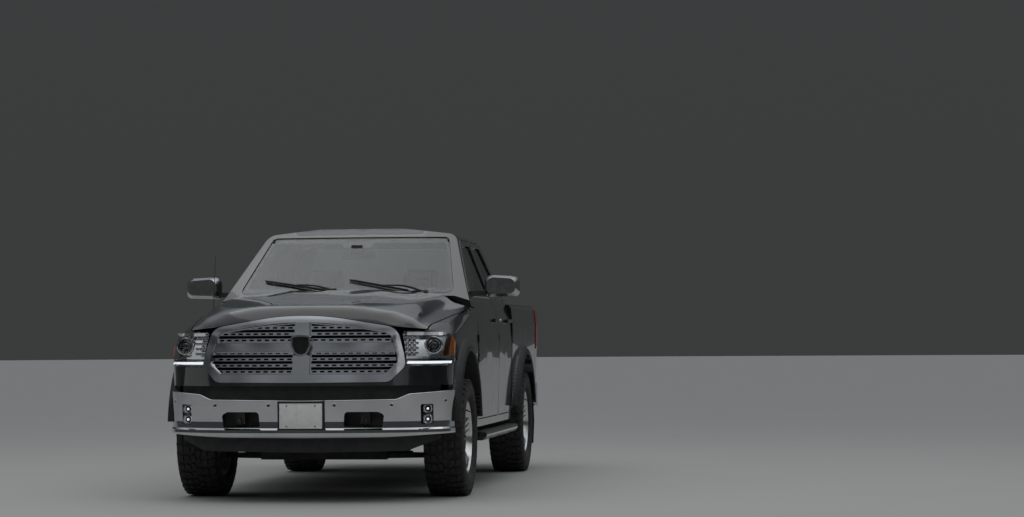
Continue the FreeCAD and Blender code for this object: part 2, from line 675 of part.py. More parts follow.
hinge_arm = fused(
    block(886, 900, PIN_Y - 12, DOOR_Y0 - GAP - SEAT, PIN_Z - 14, PIN_Z + 14),
    rod((870, PIN_Y, PIN_Z), (890, PIN_Y, PIN_Z), 6),
    block(770, 890, DOOR_Y0 - 180, DOOR_Y0 - 112 - SEAT, PIN_Z - 10, PIN_Z + 10),
    block(760, 780, DOOR_Y0 - 180, DOOR_Y0 - 112 - SEAT, PIN_Z - 10, 1384),
)
node("cowl", fused(cowl_tray, hinge_arm, opposite(hinge_arm)))
node("hood", hood)
node("nose_panel", nose_panel)
node("fenders", fender, opposite(fender))
node("headlamps", *lamps.Solids, *opposite(lamps).Solids)

surround = front_prism(grille_outline, FRONT - 200, AXLE_F - 600).cut(
    front_prism(grille_hole, FRONT - 300, AXLE_F - 500)
)
post = [(-56, 860, 0), (56, 860, 0), (56, 1000, 30), (44, 1262, 0), (-44, 1262, 0), (-56, 1000, 30)]
crossbar = [(-670, 1029, 0), (670, 1029, 0), (670, 1087, 0), (-670, 1087, 0)]
bars = front_prism(post, FRONT - 200, AXLE_F - 600).fuse(front_prism(crossbar, FRONT - 200, AXLE_F - 600))
bars = bars.common(front_prism(grille_hole, FRONT - 300, AXLE_F - 500))
grille_frame = fused(surround.common(nose_layer(-2, 62)), bars.common(nose_layer(6, 62)))
# Plain boss where the post and the crossbar meet
boss_outline = mirrored([(0, 992, 60), (46, 1014, 40), (70, 1070, 40), (66, 1136, 18), (0, 1144, 300)])
boss = front_prism(boss_outline, FRONT + 14, FRONT + 90).cut(front_prism(inset(boss_outline, 12), FRONT, FRONT + 21))
grille_frame = fused(grille_frame, boss)
node("grille_frame", grille_frame)

# Cell mesh of the grille: four plates, each cut into bars and their cells; their plan follows the nose in chords
MESH_BACK = 26
MESH_THICK = 16
chords = [(0, 0), (230, 7), (420, 28), (570, 60), (680, 98)]
mesh_plan = [(-x, FRONT + y + MESH_BACK, 0) for x, y in reversed(chords[1:])]
mesh_plan += [(x, FRONT + y + MESH_BACK, 0) for x, y in chords]
mesh_plan += [(x, y + MESH_THICK, 0) for x, y, _ in reversed(mesh_plan)]
mesh_layer = Part.Face(corner_wire(mesh_plan, level(GRILLE_BASE))).extrude(Vector(0, 500 * NOSE_LEAN, 500))
QUADRANTS = [
    ([(56, 874, 0), (570, 874, 50), (652, 948, 40), (641, 1029, 0), (56, 1029, 0)], 893),
    ([(53, 1087, 0), (618, 1087, 0), (596, 1160, 60), (295, 1205, 0), (47, 1227, 0)], 1107),
]
mesh_room = front_prism(inset(grille_hole, 1), FRONT - 60, FRONT + 300)
boss_room = front_prism(inset(boss_outline, -1), FRONT, FRONT + 200)
half_bar = size("bar_height") / 2
half_cell = size("cell_height") / 2
plates = []
for outline, foot in QUADRANTS:
    room = front_prism(inset(outline, 9), FRONT - 60, FRONT + 300)
    rows = [foot + size("bar_pitch") * i for i in range(4)]
    cutters = [room.common(block(0, 700, FRONT - 60, FRONT + 300, low + half_bar, high - half_bar))
               for low, high in zip([foot - 60] + rows, rows + [rows[-1] + 60])]
    for row, z in enumerate(rows):
        x = 72 + size("cell_pitch") * (0.5 if row % 2 else 0)
        while x + size("cell_width") < 640:
            cutters.append(block(x, x + size("cell_width"), FRONT - 60, FRONT + 300, z - half_cell, z + half_cell))
            x += size("cell_pitch")
    cells = Part.makeCompound([c for c in cutters[5:]]).common(room)
    plate = mesh_layer.common(front_prism(inset(outline, 1), FRONT - 60, FRONT + 300)).common(mesh_room)
    plate = plate.cut([c for c in cutters[:5] if c.Volume > 1] + cells.Solids + [boss_room])
    plates += [plate, opposite(plate)]
node("grille_mesh", *plates)
print("grille", grille_frame.isValid(), len(grille_frame.Solids), [(q.isValid(), len(q.Solids)) for q in plates])

# Front bumper: one bent wall with its slots
BUMPER_REACH = size("flare_reach") - 14
bumper_half = [(0, BUMPER_BASE, 0), (560, BUMPER_BASE + 4, 200), (BUMPER_REACH + 10, BUMPER_BASE + 26, 25),
               (BUMPER_REACH + 10, BUMPER_TOP + size("bumper_rise"), 25), (724, BUMPER_TOP + 44, 60),
               (636, BUMPER_TOP + 8, 60), (0, BUMPER_TOP, 0)]
# Bumper's face from foot to top, with the ledge that stands out below. Columns: height, behind the bumper lip.
BUMPER_FACE = [
    (BUMPER_BASE - 10, 26),
    (BUMPER_BASE + 10, 7),
    (BUMPER_BASE + 34, 0),
    (BUMPER_BASE + 54, 2),
    (BUMPER_BASE + 66, 22),
    (BUMPER_BASE + 110, 25),
    (BUMPER_TOP - 40, 18),
    (BUMPER_TOP + 90, 10),
]
BUMPER_INNER = [(BUMPER_BASE - 60, size("bumper_wall")), (BUMPER_TOP + 140, size("bumper_wall"))]
bumper = nose_stack(BUMPER_FACE, BUMPER_REACH).cut(nose_stack(BUMPER_INNER, BUMPER_REACH - size("bumper_wall")))
bumper = bumper.common(front_prism(mirrored(bumper_half), FRONT - 100, split_y - GAP))
hook_slot = [(288, 520, 12), (548, 512, 12), (560, 600, 24), (520, 620, 30), (296, 620, 24)]
fog_slot = [(795, 532, 12), (873, 534, 12), (873, 671, 12), (795, 668, 12)]
slots = [front_prism(hook_slot, FRONT - 100, AXLE_F), front_prism(fog_slot, FRONT - 100, AXLE_F)]
slots += [opposite(each) for each in slots]
slots.append(block(-163, 163, FRONT - 50, FRONT + 34, 492, 705))
bumper = bumper.cut(slots)
node("front_bumper", bumper)
fog_lamp = front_prism(inset(fog_slot, SEAT), FRONT - 100, AXLE_F).common(
    nose_stack([(400, 34), (800, 34)], BUMPER_REACH - 20).cut(nose_stack([(390, 66), (810, 66)], BUMPER_REACH - 66)))
node("fog_lamps", fog_lamp, opposite(fog_lamp))

# Black pieces of the nose: recess above the bumper, valance under it, bumper beam and radiator
RECESS_TOP = GRILLE_BASE - 21 - SEAT
recess_half = [(0, BUMPER_TOP - 40, 0), (600, BUMPER_TOP - 36, 0), (900, BUMPER_TOP, 0), (900, RECESS_TOP, 0),
               (0, RECESS_TOP, 0)]
valance_half = [(0, 345, 0), (700, 352, 60), (900, 430, 60), (900, BUMPER_BASE + 8, 0), (0, BUMPER_BASE + 8, 0)]
BUMPER_BACK = size("bumper_wall")
INNER_REACH = BUMPER_REACH - BUMPER_BACK - SEAT
bumper_room = nose_stack([(300, BUMPER_BACK + SEAT), (900, BUMPER_BACK + SEAT)], INNER_REACH)
inside_bumper = bumper_room.cut(nose_stack([(290, BUMPER_BACK + 34), (910, BUMPER_BACK + 34)], INNER_REACH - 34))
valance = inside_bumper.common(front_prism(mirrored(valance_half), FRONT - 100, split_y - 60))
recess = inside_bumper.common(front_prism(mirrored(recess_half), FRONT - 100, split_y - 60))
node("lower_valance", valance, recess)
RAIL_X0 = size("frame_half") - size("rail_width") / 2
RAIL_X1 = size("frame_half") + size("rail_width") / 2
RAIL_H = size("rail_height")
RAIL_FRONT = FRONT + 190
beam = block(-556, 556, RAIL_FRONT - 42, RAIL_FRONT, 520, 640)
beam_foot = block(400, 460, FRONT, RAIL_FRONT - 30, 540, 620).common(bumper_room)
NODES.append(bound_block("plate_holder", ("-Sizes.plate_width / 2", "Sizes.plate_width / 2"),
                         ("Sizes.front_y + 10", "Sizes.front_y + 34 - Sizes.seat_gap"),
                         ("Sizes.plate_base", "Sizes.plate_base + Sizes.plate_height")))
RADIATOR_Y = FRONT + 330
RADIATOR_Z = 500 + RAIL_H + SEAT
grille_leg = block(-30, 30, FRONT, RADIATOR_Y + 10, 1040, 1076).common(nose_volume(62 + SEAT))
radiator = fused(
    block(-520, 520, RADIATOR_Y, RADIATOR_Y + 44, RADIATOR_Z + 10, 1190),
    block(-560, 560, RADIATOR_Y + 6, RADIATOR_Y + 60, RADIATOR_Z, RADIATOR_Z + 36),
    block(-560, 560, RADIATOR_Y + 6, RADIATOR_Y + 60, 1176, 1206),
    grille_leg,
)
node("radiator", radiator)

# Ladder frame: two rails by their side outline, crossmembers between them, bumper beam across the front
RAIL_KINKS = [
    (RAIL_FRONT, 500),
    (AXLE_F - 430, 500),
    (AXLE_F - 300, 520),
    (AXLE_F + 330, 520),
    (AXLE_F + 560, size("rail_base") - 20),
    (AXLE_R - 760, size("rail_base") - 20),
    (AXLE_R - 420, 590),
    (AXLE_R + 420, 590),
    (BED_REAR - 60, 560),
]
RAIL_WALL = 9


def rail_outline(inset_by):
    """The rail in side view, its flanges moved towards each other."""
    low = [(y, z + inset_by, 60) for y, z in RAIL_KINKS]
    high = [(y, z + RAIL_H - inset_by, 60) for y, z in reversed(RAIL_KINKS)]
    ends = (low[0], low[-1], high[0], high[-1])
    return [(y, z, 0 if (y, z, r) in ends else r) for y, z, r in low + high]


rail = side_prism(rail_outline(0), RAIL_X0, RAIL_X1)
hollow = side_prism(rail_outline(RAIL_WALL), RAIL_X0 - 1, RAIL_X1 - RAIL_WALL)
rail = rail.cut(hollow.common(block(0, 600, RAIL_FRONT + 60, BED_REAR - 120, 300, 900)))
# Crossmembers. Columns: y, height of its middle.
CROSSMEMBERS = [
    (AXLE_F - 250, 600),
    (AXLE_F + 640, 428),
    (AXLE_F + 1500, 530),
    (AXLE_R - 760, 522),
    (AXLE_R + 180, 712),
    (BED_REAR - 82, 620),
]
members = [beam, beam_foot, opposite(beam_foot)]
for y, z in CROSSMEMBERS:
    members.append(rod((-RAIL_X1 + 4, y, z), (RAIL_X1 - 4, y, z), 14))
CAB_RAIL_TOP = size("rail_base") - 20 + RAIL_H
for y in (DOOR_Y0 + 120, DOOR_Y1, CAB_REAR - 120):
    mount = rod((size("frame_half"), y, CAB_RAIL_TOP - 5), (size("frame_half"), y, FLOOR - 30 - SEAT), 34)
    members += [mount, opposite(mount)]
STRUT_TOP = 780
tower = fused(block(RAIL_X1 - 30, RAIL_X1 + 6, AXLE_F - 60, AXLE_F + 60, 660, STRUT_TOP + 20),
              block(RAIL_X1 - 30, 568, AXLE_F - 60, AXLE_F + 60, STRUT_TOP + SEAT, STRUT_TOP + 20))
SPARE_Y = AXLE_R + 598
SPARE_Z = 532
spare_hanger = block(-RAIL_X0 - 6, RAIL_X0 + 6, SPARE_Y - 40, SPARE_Y + 40, SPARE_Z + 195 + SEAT, SPARE_Z + 204)
members += [tower, opposite(tower), spare_hanger]
frame_shape = fused(rail, opposite(rail), *members)
node("ladder_frame", frame_shape)

# Engine as one block, gearbox and transfer case, exhaust, tank
engine = loft([
    corner_wire([(-300, 660, 40), (300, 660, 40), (330, 900, 60), (210, 1110, 60), (-210, 1110, 60), (-330, 900, 60)],
                across(y)) for y in (AXLE_F - 420, AXLE_F + 330)
])
sump = block(-180, 180, AXLE_F - 60, AXLE_F + 300, 505, 662)
engine_mounts = [block(x, x + 160, AXLE_F - 20, AXLE_F + 60, 520 + RAIL_H + SEAT, 740) for x in (270, -430)]
node("engine_block", fused(engine, sump, *engine_mounts))
gearbox = loft([
    Part.Wire(Part.makeCircle(r, Vector(0, y, 560 + r * 0.1), Vector(0, 1, 0)))
    for y, r in ((AXLE_F + 330 + SEAT, 190), (AXLE_F + 560, 130), (AXLE_F + 1150, 105))
], ruled=True)
gearbox = gearbox.cut(block(-400, 400, AXLE_F, AXLE_F + 3000, FLOOR - 34, 900).common(
    block(-400, 400, DOOR_Y0 - 60, REAR, FLOOR - 34, 900)))
transfer = rod((0, AXLE_F + 1150, 468), (0, AXLE_F + 1420, 468), 68)
shaft_rear = rod((0, AXLE_F + 1400, 468), (0, AXLE_R - 190 - SEAT, 420), 38)
gearbox_pad = block(-60, 60, AXLE_F + 610, AXLE_F + 670, 442 + SEAT, 520)
shaft_front = rod((-144, AXLE_F + 1260, 400), (-144, AXLE_F + 113 + SEAT, 372), 27)
case = block(-190, 60, AXLE_F + 1180, AXLE_F + 1330, 380, 500)
drivetrain = fused(gearbox, transfer, shaft_rear, case, shaft_front, gearbox_pad)
node("drivetrain", drivetrain)


def pipe(points, radius):
    """Round pipe through points, each corner an arc as large as its runs allow up to 120."""
    edges = []
    last = Vector(*points[0])
    for i in range(1, len(points) - 1):
        here = Vector(*points[i])
        before = (Vector(*points[i - 1]) - here)
        after = (Vector(*points[i + 1]) - here)
        turn = math.pi - before.getAngle(after)
        reach = min(120 * math.tan(turn / 2), 0.4 * before.Length, 0.4 * after.Length)
        arc_radius = reach / math.tan(turn / 2)
        b, a = Vector(before).normalize(), Vector(after).normalize()
        middle = here + (a + b).normalize() * (math.hypot(arc_radius, reach) - arc_radius)
        edges.append(Part.LineSegment(last, here + b * reach).toShape())
        edges.append(Part.Arc(here + b * reach, middle, here + a * reach).toShape())
        last = here + a * reach
    edges.append(Part.LineSegment(last, Vector(*points[-1])).toShape())
    path = Part.Wire(edges)
    way = Vector(*points[1]) - Vector(*points[0])
    section = Part.Wire(Part.makeCircle(radius, Vector(*points[0]), way))
    return path.makePipeShell([section], True, False)


EXHAUST_X = -250
exhaust_pipe = pipe([
    (EXHAUST_X, AXLE_F + 330 + SEAT, 700), (EXHAUST_X, AXLE_F + 420, 700), (EXHAUST_X, AXLE_F + 540, 355),
    (EXHAUST_X, AXLE_R - 720, 355), (EXHAUST_X, AXLE_R - 200, 532), (EXHAUST_X, AXLE_R + 140, 532),
    (EXHAUST_X - 40, AXLE_R + 300, 440), (-620, AXLE_R + 560, 440), (-760, AXLE_R + 760, 430),
], 32)
muffler = rod((EXHAUST_X, AXLE_F + 1570, 378), (EXHAUST_X, AXLE_F + 2200, 378), 88)
node("exhaust", exhaust_pipe.fuse(muffler).removeSplitter())
tank = plan_prism([(84, AXLE_F + 1700, 50), (370, AXLE_F + 1700, 50), (370, AXLE_F + 2640, 50),
                   (84, AXLE_F + 2640, 50)], 330, CAB_RAIL_TOP - 1)
tank = tank.makeFillet(30, [e for e in tank.Edges if e.BoundBox.ZMax < 331])
tank_straps = [block(360, RAIL_X0 - SEAT, y, y + 40, CAB_RAIL_TOP - RAIL_WALL, CAB_RAIL_TOP - 1)
               for y in (AXLE_F + 1900, AXLE_F + 2400)]
node("fuel_tank", fused(tank, *tank_straps))

# Front axle: arms, coil spring and damper, differential with its shafts, steering rack
BALL_X = HALF_TRACK - size("steer_offset")
ARM_TOP = HUB_Z + 132
ARM_LOW = HUB_Z - 128
BALL_R = 11


def wishbone(z, reach_in, half_spread, thick):
    outline = [(BALL_X - 22, AXLE_F - 26, 24), (reach_in, AXLE_F - half_spread, 20),
               (reach_in, AXLE_F - half_spread + 60, 20), (BALL_X - 110, AXLE_F, 40),
               (reach_in, AXLE_F + half_spread - 60, 20), (reach_in, AXLE_F + half_spread, 20),
               (BALL_X - 22, AXLE_F + 26, 24)]
    eye = rod((BALL_X, AXLE_F, z - thick / 2), (BALL_X, AXLE_F, z + thick / 2), 24)
    ball_bore = rod((BALL_X, AXLE_F, z - 50), (BALL_X, AXLE_F, z + 50), BALL_R + 0.08)
    return fused(plan_prism(outline, z - thick / 2, z + thick / 2), eye).cut(ball_bore)


low_arm = wishbone(ARM_LOW, 300, 190, 36)
top_arm = wishbone(ARM_TOP, RAIL_X1 + SEAT, 120, 26)
strut = rod((541, AXLE_F, ARM_LOW), (514, AXLE_F, STRUT_TOP + 20), 42).common(
    block(300, 700, AXLE_F - 100, AXLE_F + 100, ARM_LOW + 18 + SEAT, STRUT_TOP))
strut = strut.cut(wishbone(ARM_TOP, RAIL_X1 - 60, 140, 60))
low_mount = block(266, 330, AXLE_F - 200, AXLE_F + 200, ARM_LOW - 10, ARM_LOW + 40)
carrier = fused(block(-450, 450, AXLE_F - 200, AXLE_F - 130, ARM_LOW - 24, ARM_LOW + 46),
                block(-450, 450, AXLE_F + 130, AXLE_F + 200, ARM_LOW - 24, ARM_LOW + 46))
carrier_legs = [block(x, x + 50, y, y + 70, ARM_LOW + 20, 520 - SEAT) for x in (400, -450)
                for y in (AXLE_F - 200, AXLE_F + 130)]
side_arms = fused(low_arm, low_mount)
front_arms = fused(side_arms, opposite(side_arms), carrier, *carrier_legs)
diff_body = Part.makeSphere(118, Vector(-144, AXLE_F, 372)).common(
    block(-260, -30, AXLE_F - 120, AXLE_F + 112, 240, 500))
diff_foot = block(-180, -110, AXLE_F - 130 + SEAT, AXLE_F + 130 - SEAT, ARM_LOW - 10, ARM_LOW + 30)
half_shafts = rod((-BALL_X + 60, AXLE_F, HUB_Z), (BALL_X - 60, AXLE_F, HUB_Z), 17)
diff = fused(diff_body, diff_foot, half_shafts)
strut = strut.cut(rod((0, AXLE_F, HUB_Z), (BALL_X, AXLE_F, HUB_Z), 23))
node("front_arms", front_arms, top_arm, opposite(top_arm))
node("front_struts", *strut.Solids, *opposite(strut).Solids)
node("front_differential", diff)

# Rear axle with its leaf springs and dampers
LEAF_X = 560
SPINDLE_R = size("spindle_radius")
axle_at = ("Sizes.axle_rear_y", "Sizes.hub_height")
axle_tube = bound_tube("axle_tube", ("96 - Sizes.half_track", "Sizes.half_track - 96"), *axle_at, "Sizes.axle_tube_radius")
spindles = bound_tube("spindles", ("-Sizes.half_track - 33", "Sizes.half_track + 33"), *axle_at, "Sizes.spindle_radius")
pumpkin_ball = bound("Sphere", "pumpkin_ball", ("0", *axle_at), Radius="Sizes.pumpkin_radius")
pumpkin_room = bound_block("pumpkin_room", ("-130", "130"), ("Sizes.axle_rear_y - 190", "Sizes.axle_rear_y + 130"),
                           ("200", "700"))
pumpkin = doc.addObject("Part::MultiCommon", "pumpkin")
pumpkin.Shapes = [pumpkin_ball, pumpkin_room]
pinion_way = Vector(0, 90, -3)
pinion_nose = bound("Cylinder", "pinion_nose", ("0", "Sizes.axle_rear_y - 190", "420"), (Vector(0, 0, 1), pinion_way),
                    Radius="62", Height="sqrt(90 ^ 2 + 3 ^ 2)")
NODES.append(united("rear_axle", axle_tube, pumpkin, pinion_nose, spindles))
LEAF_ENDS = (AXLE_R - 660, AXLE_R + 700)


def leaf_arc(end_z, middle_z, way):
    first, last = LEAF_ENDS[::way]
    spots = [Vector(LEAF_X - 38, y, z) for y, z in ((first, end_z), (AXLE_R, middle_z), (last, end_z))]
    return Part.Arc(*spots).toShape()


lower = leaf_arc(560, 470, 1)
upper = leaf_arc(592, 520, -1)
ends = [Part.LineSegment(Vector(LEAF_X - 38, y, a), Vector(LEAF_X - 38, y, b)).toShape()
        for y, a, b in ((LEAF_ENDS[1], 560, 592), (LEAF_ENDS[0], 592, 560))]
leaf = Part.Face(Part.Wire([lower, ends[0], upper, ends[1]])).extrude(Vector(76, 0, 0))
tube_room = rod((0, AXLE_R, HUB_Z), (HALF_TRACK, AXLE_R, HUB_Z), size("axle_tube_radius") + SEAT)
saddle = block(LEAF_X - 36, LEAF_X + 36, AXLE_R - 60, AXLE_R + 60, HUB_Z + 30, 480).cut(tube_room)
front_hanger = block(RAIL_X1, LEAF_X + 38, AXLE_R - 700, AXLE_R - 620, 560, 600)
rear_hanger = block(RAIL_X1, LEAF_X + 38, AXLE_R + 660, AXLE_R + 720, 560, 640)
spring = fused(leaf, saddle, front_hanger, rear_hanger)
node("rear_springs", spring, opposite(spring))
print("chassis done")

# Wheels. Tyre and rim are drawn as half sections about the axle, x outboard and radius.
RIM_R = size("rim_diameter") / 2
RIM_HALF = size("rim_depth") / 2
TYRE_R = size("tyre_diameter") / 2
TYRE_HALF = size("tyre_section") / 2
SEAT_R = RIM_R - 18


tyre = turned([
    (-RIM_HALF + 10, SEAT_R + SEAT, 0),
    (RIM_HALF - 10, SEAT_R + SEAT, 0),
    (RIM_HALF - 10, RIM_R + 3, 0),
    (TYRE_HALF - 12, RIM_R + 12, 14),
    (TYRE_HALF, RIM_R + 62, 60),
    (TYRE_HALF - 6, TYRE_R - 26, 30),
    (TYRE_HALF - 32, TYRE_R, 20),
    (-TYRE_HALF + 32, TYRE_R, 20),
    (-TYRE_HALF + 6, TYRE_R - 26, 30),
    (-TYRE_HALF, RIM_R + 62, 60),
    (-TYRE_HALF + 12, RIM_R + 12, 14),
    (-RIM_HALF + 10, RIM_R + 3, 0),
])
barrel = turned([
    (-RIM_HALF, SEAT_R - size("rim_wall"), 0),
    (-RIM_HALF + 60, SEAT_R - size("rim_wall"), 10),
    (-RIM_HALF + 90, SEAT_R - 24, 10),
    (RIM_HALF - 40, SEAT_R - 24, 10),
    (RIM_HALF - 14, SEAT_R - size("rim_wall"), 10),
    (RIM_HALF, SEAT_R, 0),
    (RIM_HALF, RIM_R, 3),
    (RIM_HALF - 9, RIM_R, 0),
    (RIM_HALF - 9, SEAT_R, 0),
    (-RIM_HALF + 9, SEAT_R, 0),
    (-RIM_HALF + 9, RIM_R, 0),
    (-RIM_HALF, RIM_R, 3),
])
HUB_R = size("hub_radius")
HUB_IN = -12
BORE_R = SPINDLE_R
hub = turned([(HUB_IN, BORE_R + SEAT, 0), (34, BORE_R + SEAT, 0), (34, 4, 0), (78, 4, 0), (78, 40, 8), (66, HUB_R, 16),
              (46, HUB_R + 14, 10), (HUB_IN, HUB_R, 0)])
spoke_side = [(54, HUB_R - 30, 0), (74, HUB_R - 30, 20), (84, SEAT_R - 90, 60), (106, SEAT_R - 12, 0),
              (60, SEAT_R - 12, 0), (44, SEAT_R - 80, 60)]
spoke_face = Part.Face(corner_wire(spoke_side, lambda p: Vector(p.x, -80, p.y)))
spoke = spoke_face.extrude(Vector(0, 160, 0))
spoke_front = Part.Face(corner_wire(
    [(-44, HUB_R - 32, 0), (44, HUB_R - 32, 0), (34, 150, 60), (62, SEAT_R, 0), (-62, SEAT_R, 0), (-34, 150, 60)],
    lambda p: Vector(-20, p.x, p.y))).extrude(Vector(200, 0, 0))
spoke = spoke.common(spoke_front)
spokes = []
for i in range(int(size("spoke_count"))):
    turned_spoke = spoke.copy()
    turned_spoke.rotate(Vector(0, 0, 0), Vector(1, 0, 0), 360 * i / size("spoke_count"))
    spokes.append(turned_spoke)
barrel_inside = turned([(-RIM_HALF, 0, 0), (RIM_HALF, 0, 0), (RIM_HALF, SEAT_R - 1, 0), (-RIM_HALF, SEAT_R - 1, 0)])
rim = fused(barrel, hub, *[s.common(barrel_inside) for s in spokes])
disc = turned([(-60, 96, 0), (-30, 96, 0), (-30, 62, 0), (HUB_IN - SEAT, 62, 0), (HUB_IN - SEAT, 46, 0),
               (-38, 46, 0), (-38, 88, 0), (-60, 88, 0)]).fuse(
    turned([(-60, 92, 0), (-32, 92, 0), (-32, size("disc_radius"), 2), (-60, size("disc_radius"), 2)])
).removeSplitter()


def placed(shape, x, y, side):
    """A wheel part, drawn for the left side, moved to its axle; the right side is its mirror image."""
    moved = shape.copy()
    moved.translate(Vector(x, y, HUB_Z))
    return moved if side == "left" else opposite(moved)


PIVOT = -size("steer_offset")
carrier_ends = [(PIVOT - 22, -34, 10), (PIVOT + 22, -34, 10), (PIVOT + 22, 34, 10), (PIVOT - 22, 34, 10)]
carrier_middle = [(-130, -50, 10), (-90, -50, 10), (-90, 50, 10), (-130, 50, 10)]
knuckle = fused(
    turned([(PIVOT, 26, 0), (-66, 26, 0), (-66, 40, 0), (PIVOT, 40, 0)]),
    rod((-120, 0, 0), (-66, 0, 0), 52),
    rod((PIVOT, 0, ARM_LOW - HUB_Z - 14), (PIVOT, 0, -90), BALL_R),
    rod((PIVOT, 0, 90), (PIVOT, 0, ARM_TOP - HUB_Z + 12), BALL_R),
    rod((-100, 0, 0), (33, 0, 0), BORE_R),
    loft([corner_wire(outline, level(z)) for outline, z in
          ((carrier_ends, -104), (carrier_middle, 0), (carrier_ends, 112))], ruled=True),
)
for end, y in (("front", AXLE_F), ("rear", AXLE_R)):
    for side in ("left", "right"):
        node(f"tyre_{end}_{side}", placed(tyre, HALF_TRACK, y, side))
        node(f"rim_{end}_{side}", placed(rim, HALF_TRACK, y, side), placed(disc, HALF_TRACK, y, side))
for side in ("left", "right"):
    node(f"knuckle_{side}", placed(knuckle, HALF_TRACK, AXLE_F, side))
print("wheels done", rim.isValid(), len(rim.Solids), tyre.Volume / 1e9, len(knuckle.Solids), knuckle.isValid())

# Wheel liners inside the front arches, inner wheel houses are part of the bed
liner_out = Part.makeCylinder(size("arch_radius") - SEAT, 400, Vector(545, AXLE_F, size("arch_height")), Vector(1, 0, 0))
liner_in = Part.makeCylinder(size("arch_radius") - 12, 500, Vector(500, AXLE_F, size("arch_height")), Vector(1, 0, 0))
liner = liner_out.cut(liner_in).cut(block(400, 1000, AXLE_F - 700, AXLE_F + 700, -200, 470))
node("wheel_liners", liner, opposite(liner))

# Load bed: sides with their rails and arches, floor with front wall and wheel houses, tailgate
BED_IN = size("bed_inner_width") / 2
BED_TOP = size("bed_top")
BED_FLOOR = size("bed_floor")
bed_section = [(BED_IN, 640, 0), (966, SILL + 20, 0), (982, WAIST, 0), (984, 1225, 200), (970, BED_TOP - 22, 30),
               (948, BED_TOP, 20), (BED_IN + 22, BED_TOP, 15), (BED_IN + 22, BED_TOP - 48, 15), (BED_IN, BED_TOP - 60, 0)]
bed_side = front_prism(bed_section, BED_FRONT, BED_REAR)
rear_arch = Part.makeCylinder(ARCH_R, 500, Vector(700, AXLE_R, HUB_Z), Vector(1, 0, 0))
tail_slot = block(905, 1100, BED_REAR - 118, BED_REAR + 50, 1020, 1352)
bed_side = bed_side.cut([rear_arch, tail_slot])
bed_side = fused(bed_side, flare(AXLE_R, HUB_Z, 560))
node("bed_sides", bed_side, opposite(bed_side))
lamp_shape = front_prism(inset(bed_section, -6), BED_REAR - 118, BED_REAR + 8).common(
    block(905 + SEAT, 1100, BED_REAR - 118 + SEAT, BED_REAR + 8, 1020 + SEAT, 1352 - SEAT))
node("tail_lamps", lamp_shape, opposite(lamp_shape))
house_out = side_prism([(AXLE_R - 520, BED_FLOOR - 30, 0), (AXLE_R - 420, BED_FLOOR + 210, 130),
                        (AXLE_R + 420, BED_FLOOR + 210, 130), (AXLE_R + 520, BED_FLOOR - 30, 0)], 640, BED_IN)
house_in = side_prism([(AXLE_R - 500, BED_FLOOR - 60, 0), (AXLE_R - 404, BED_FLOOR + 198, 120),
                       (AXLE_R + 404, BED_FLOOR + 198, 120), (AXLE_R + 500, BED_FLOOR - 60, 0)], 652, BED_IN + 1)
THICK = size("bed_floor_thick")
FLOOR_END = BED_REAR - size("tailgate_thick") - 20
floor = block(-BED_IN, BED_IN, BED_FRONT, FLOOR_END, BED_FLOOR - THICK, BED_FLOOR)
sills = [block(-640, 640, y - 45, y + 45, 590 + RAIL_H + SEAT, BED_FLOOR - THICK + 2)
         for y in (AXLE_R - 370, AXLE_R + 370)]
front_wall = block(-BED_IN, BED_IN, BED_FRONT, BED_FRONT + 46, BED_FLOOR - THICK, BED_TOP)
bed_ribs = [block(x, x + 40, BED_FRONT + 60, BED_REAR - 120, BED_FLOOR - 1, BED_FLOOR + 9)
            for x in range(-596, 601, 128)]
bed_floor = fused(floor, front_wall, house_out, opposite(house_out), *bed_ribs, *sills)
bed_floor = bed_floor.cut([house_in, opposite(house_in)])
node("bed_floor", bed_floor)
gate_half = size("tailgate_width") / 2
gate_section = [(BED_REAR - size("tailgate_thick"), BED_FLOOR - 60, 0), (BED_REAR + 2, BED_FLOOR - 60, 30),
                (BED_REAR + 14, 1240, 300), (BED_REAR + 4, BED_TOP - 4, 20),
                (BED_REAR - size("tailgate_thick"), BED_TOP - 4, 10)]
GATE_PIN = (BED_REAR - size("tailgate_thick") / 2, BED_FLOOR - 34)
gate_pin = rod((gate_half - 10, *GATE_PIN), (gate_half + GAP + 14, *GATE_PIN), 9)
tailgate = fused(side_prism(gate_section, -gate_half, gate_half), gate_pin, opposite(gate_pin))
node("tailgate", tailgate)
post_in = block(gate_half + GAP, BED_IN, BED_REAR - 60, BED_REAR, 640, BED_TOP).cut(
    rod((gate_half, *GATE_PIN), (gate_half + GAP + 16, *GATE_PIN), 9.08)
)
node("bed_posts", post_in, opposite(post_in))

# Rear bumper and hitch receiver
rear_plan = [(-984, BED_REAR + 22, 30), (984, BED_REAR + 22, 30), (976, REAR - 40, 50), (600, REAR, 200),
             (-600, REAR, 200), (-976, REAR - 40, 50)]
rear_bumper = plan_prism(rear_plan, 520, 720)
rear_bumper = rear_bumper.cut([block(-170, 170, REAR - 20, REAR + 5, 560, 700),
                               plan_prism([(-940, BED_REAR, 0), (940, BED_REAR, 0), (930, REAR - 90, 40),
                                           (580, REAR - 50, 100), (-580, REAR - 50, 100),
                                           (-930, REAR - 90, 40)], 500, 664)])
bumper_arms = [block(x, x + 60, BED_REAR - 60 + SEAT, REAR - 44, 580, 640) for x in (400, -460)]
node("rear_bumper", fused(rear_bumper, *bumper_arms))
receiver_height = [f"Sizes.hitch_height {sign} Sizes.receiver_half" for sign in "-+"]
receiver_tube = bound_block("receiver_tube", ("-Sizes.receiver_half", "Sizes.receiver_half"),
                            ("Sizes.bed_rear_y - 260", "Sizes.rear_y - 14"), receiver_height)
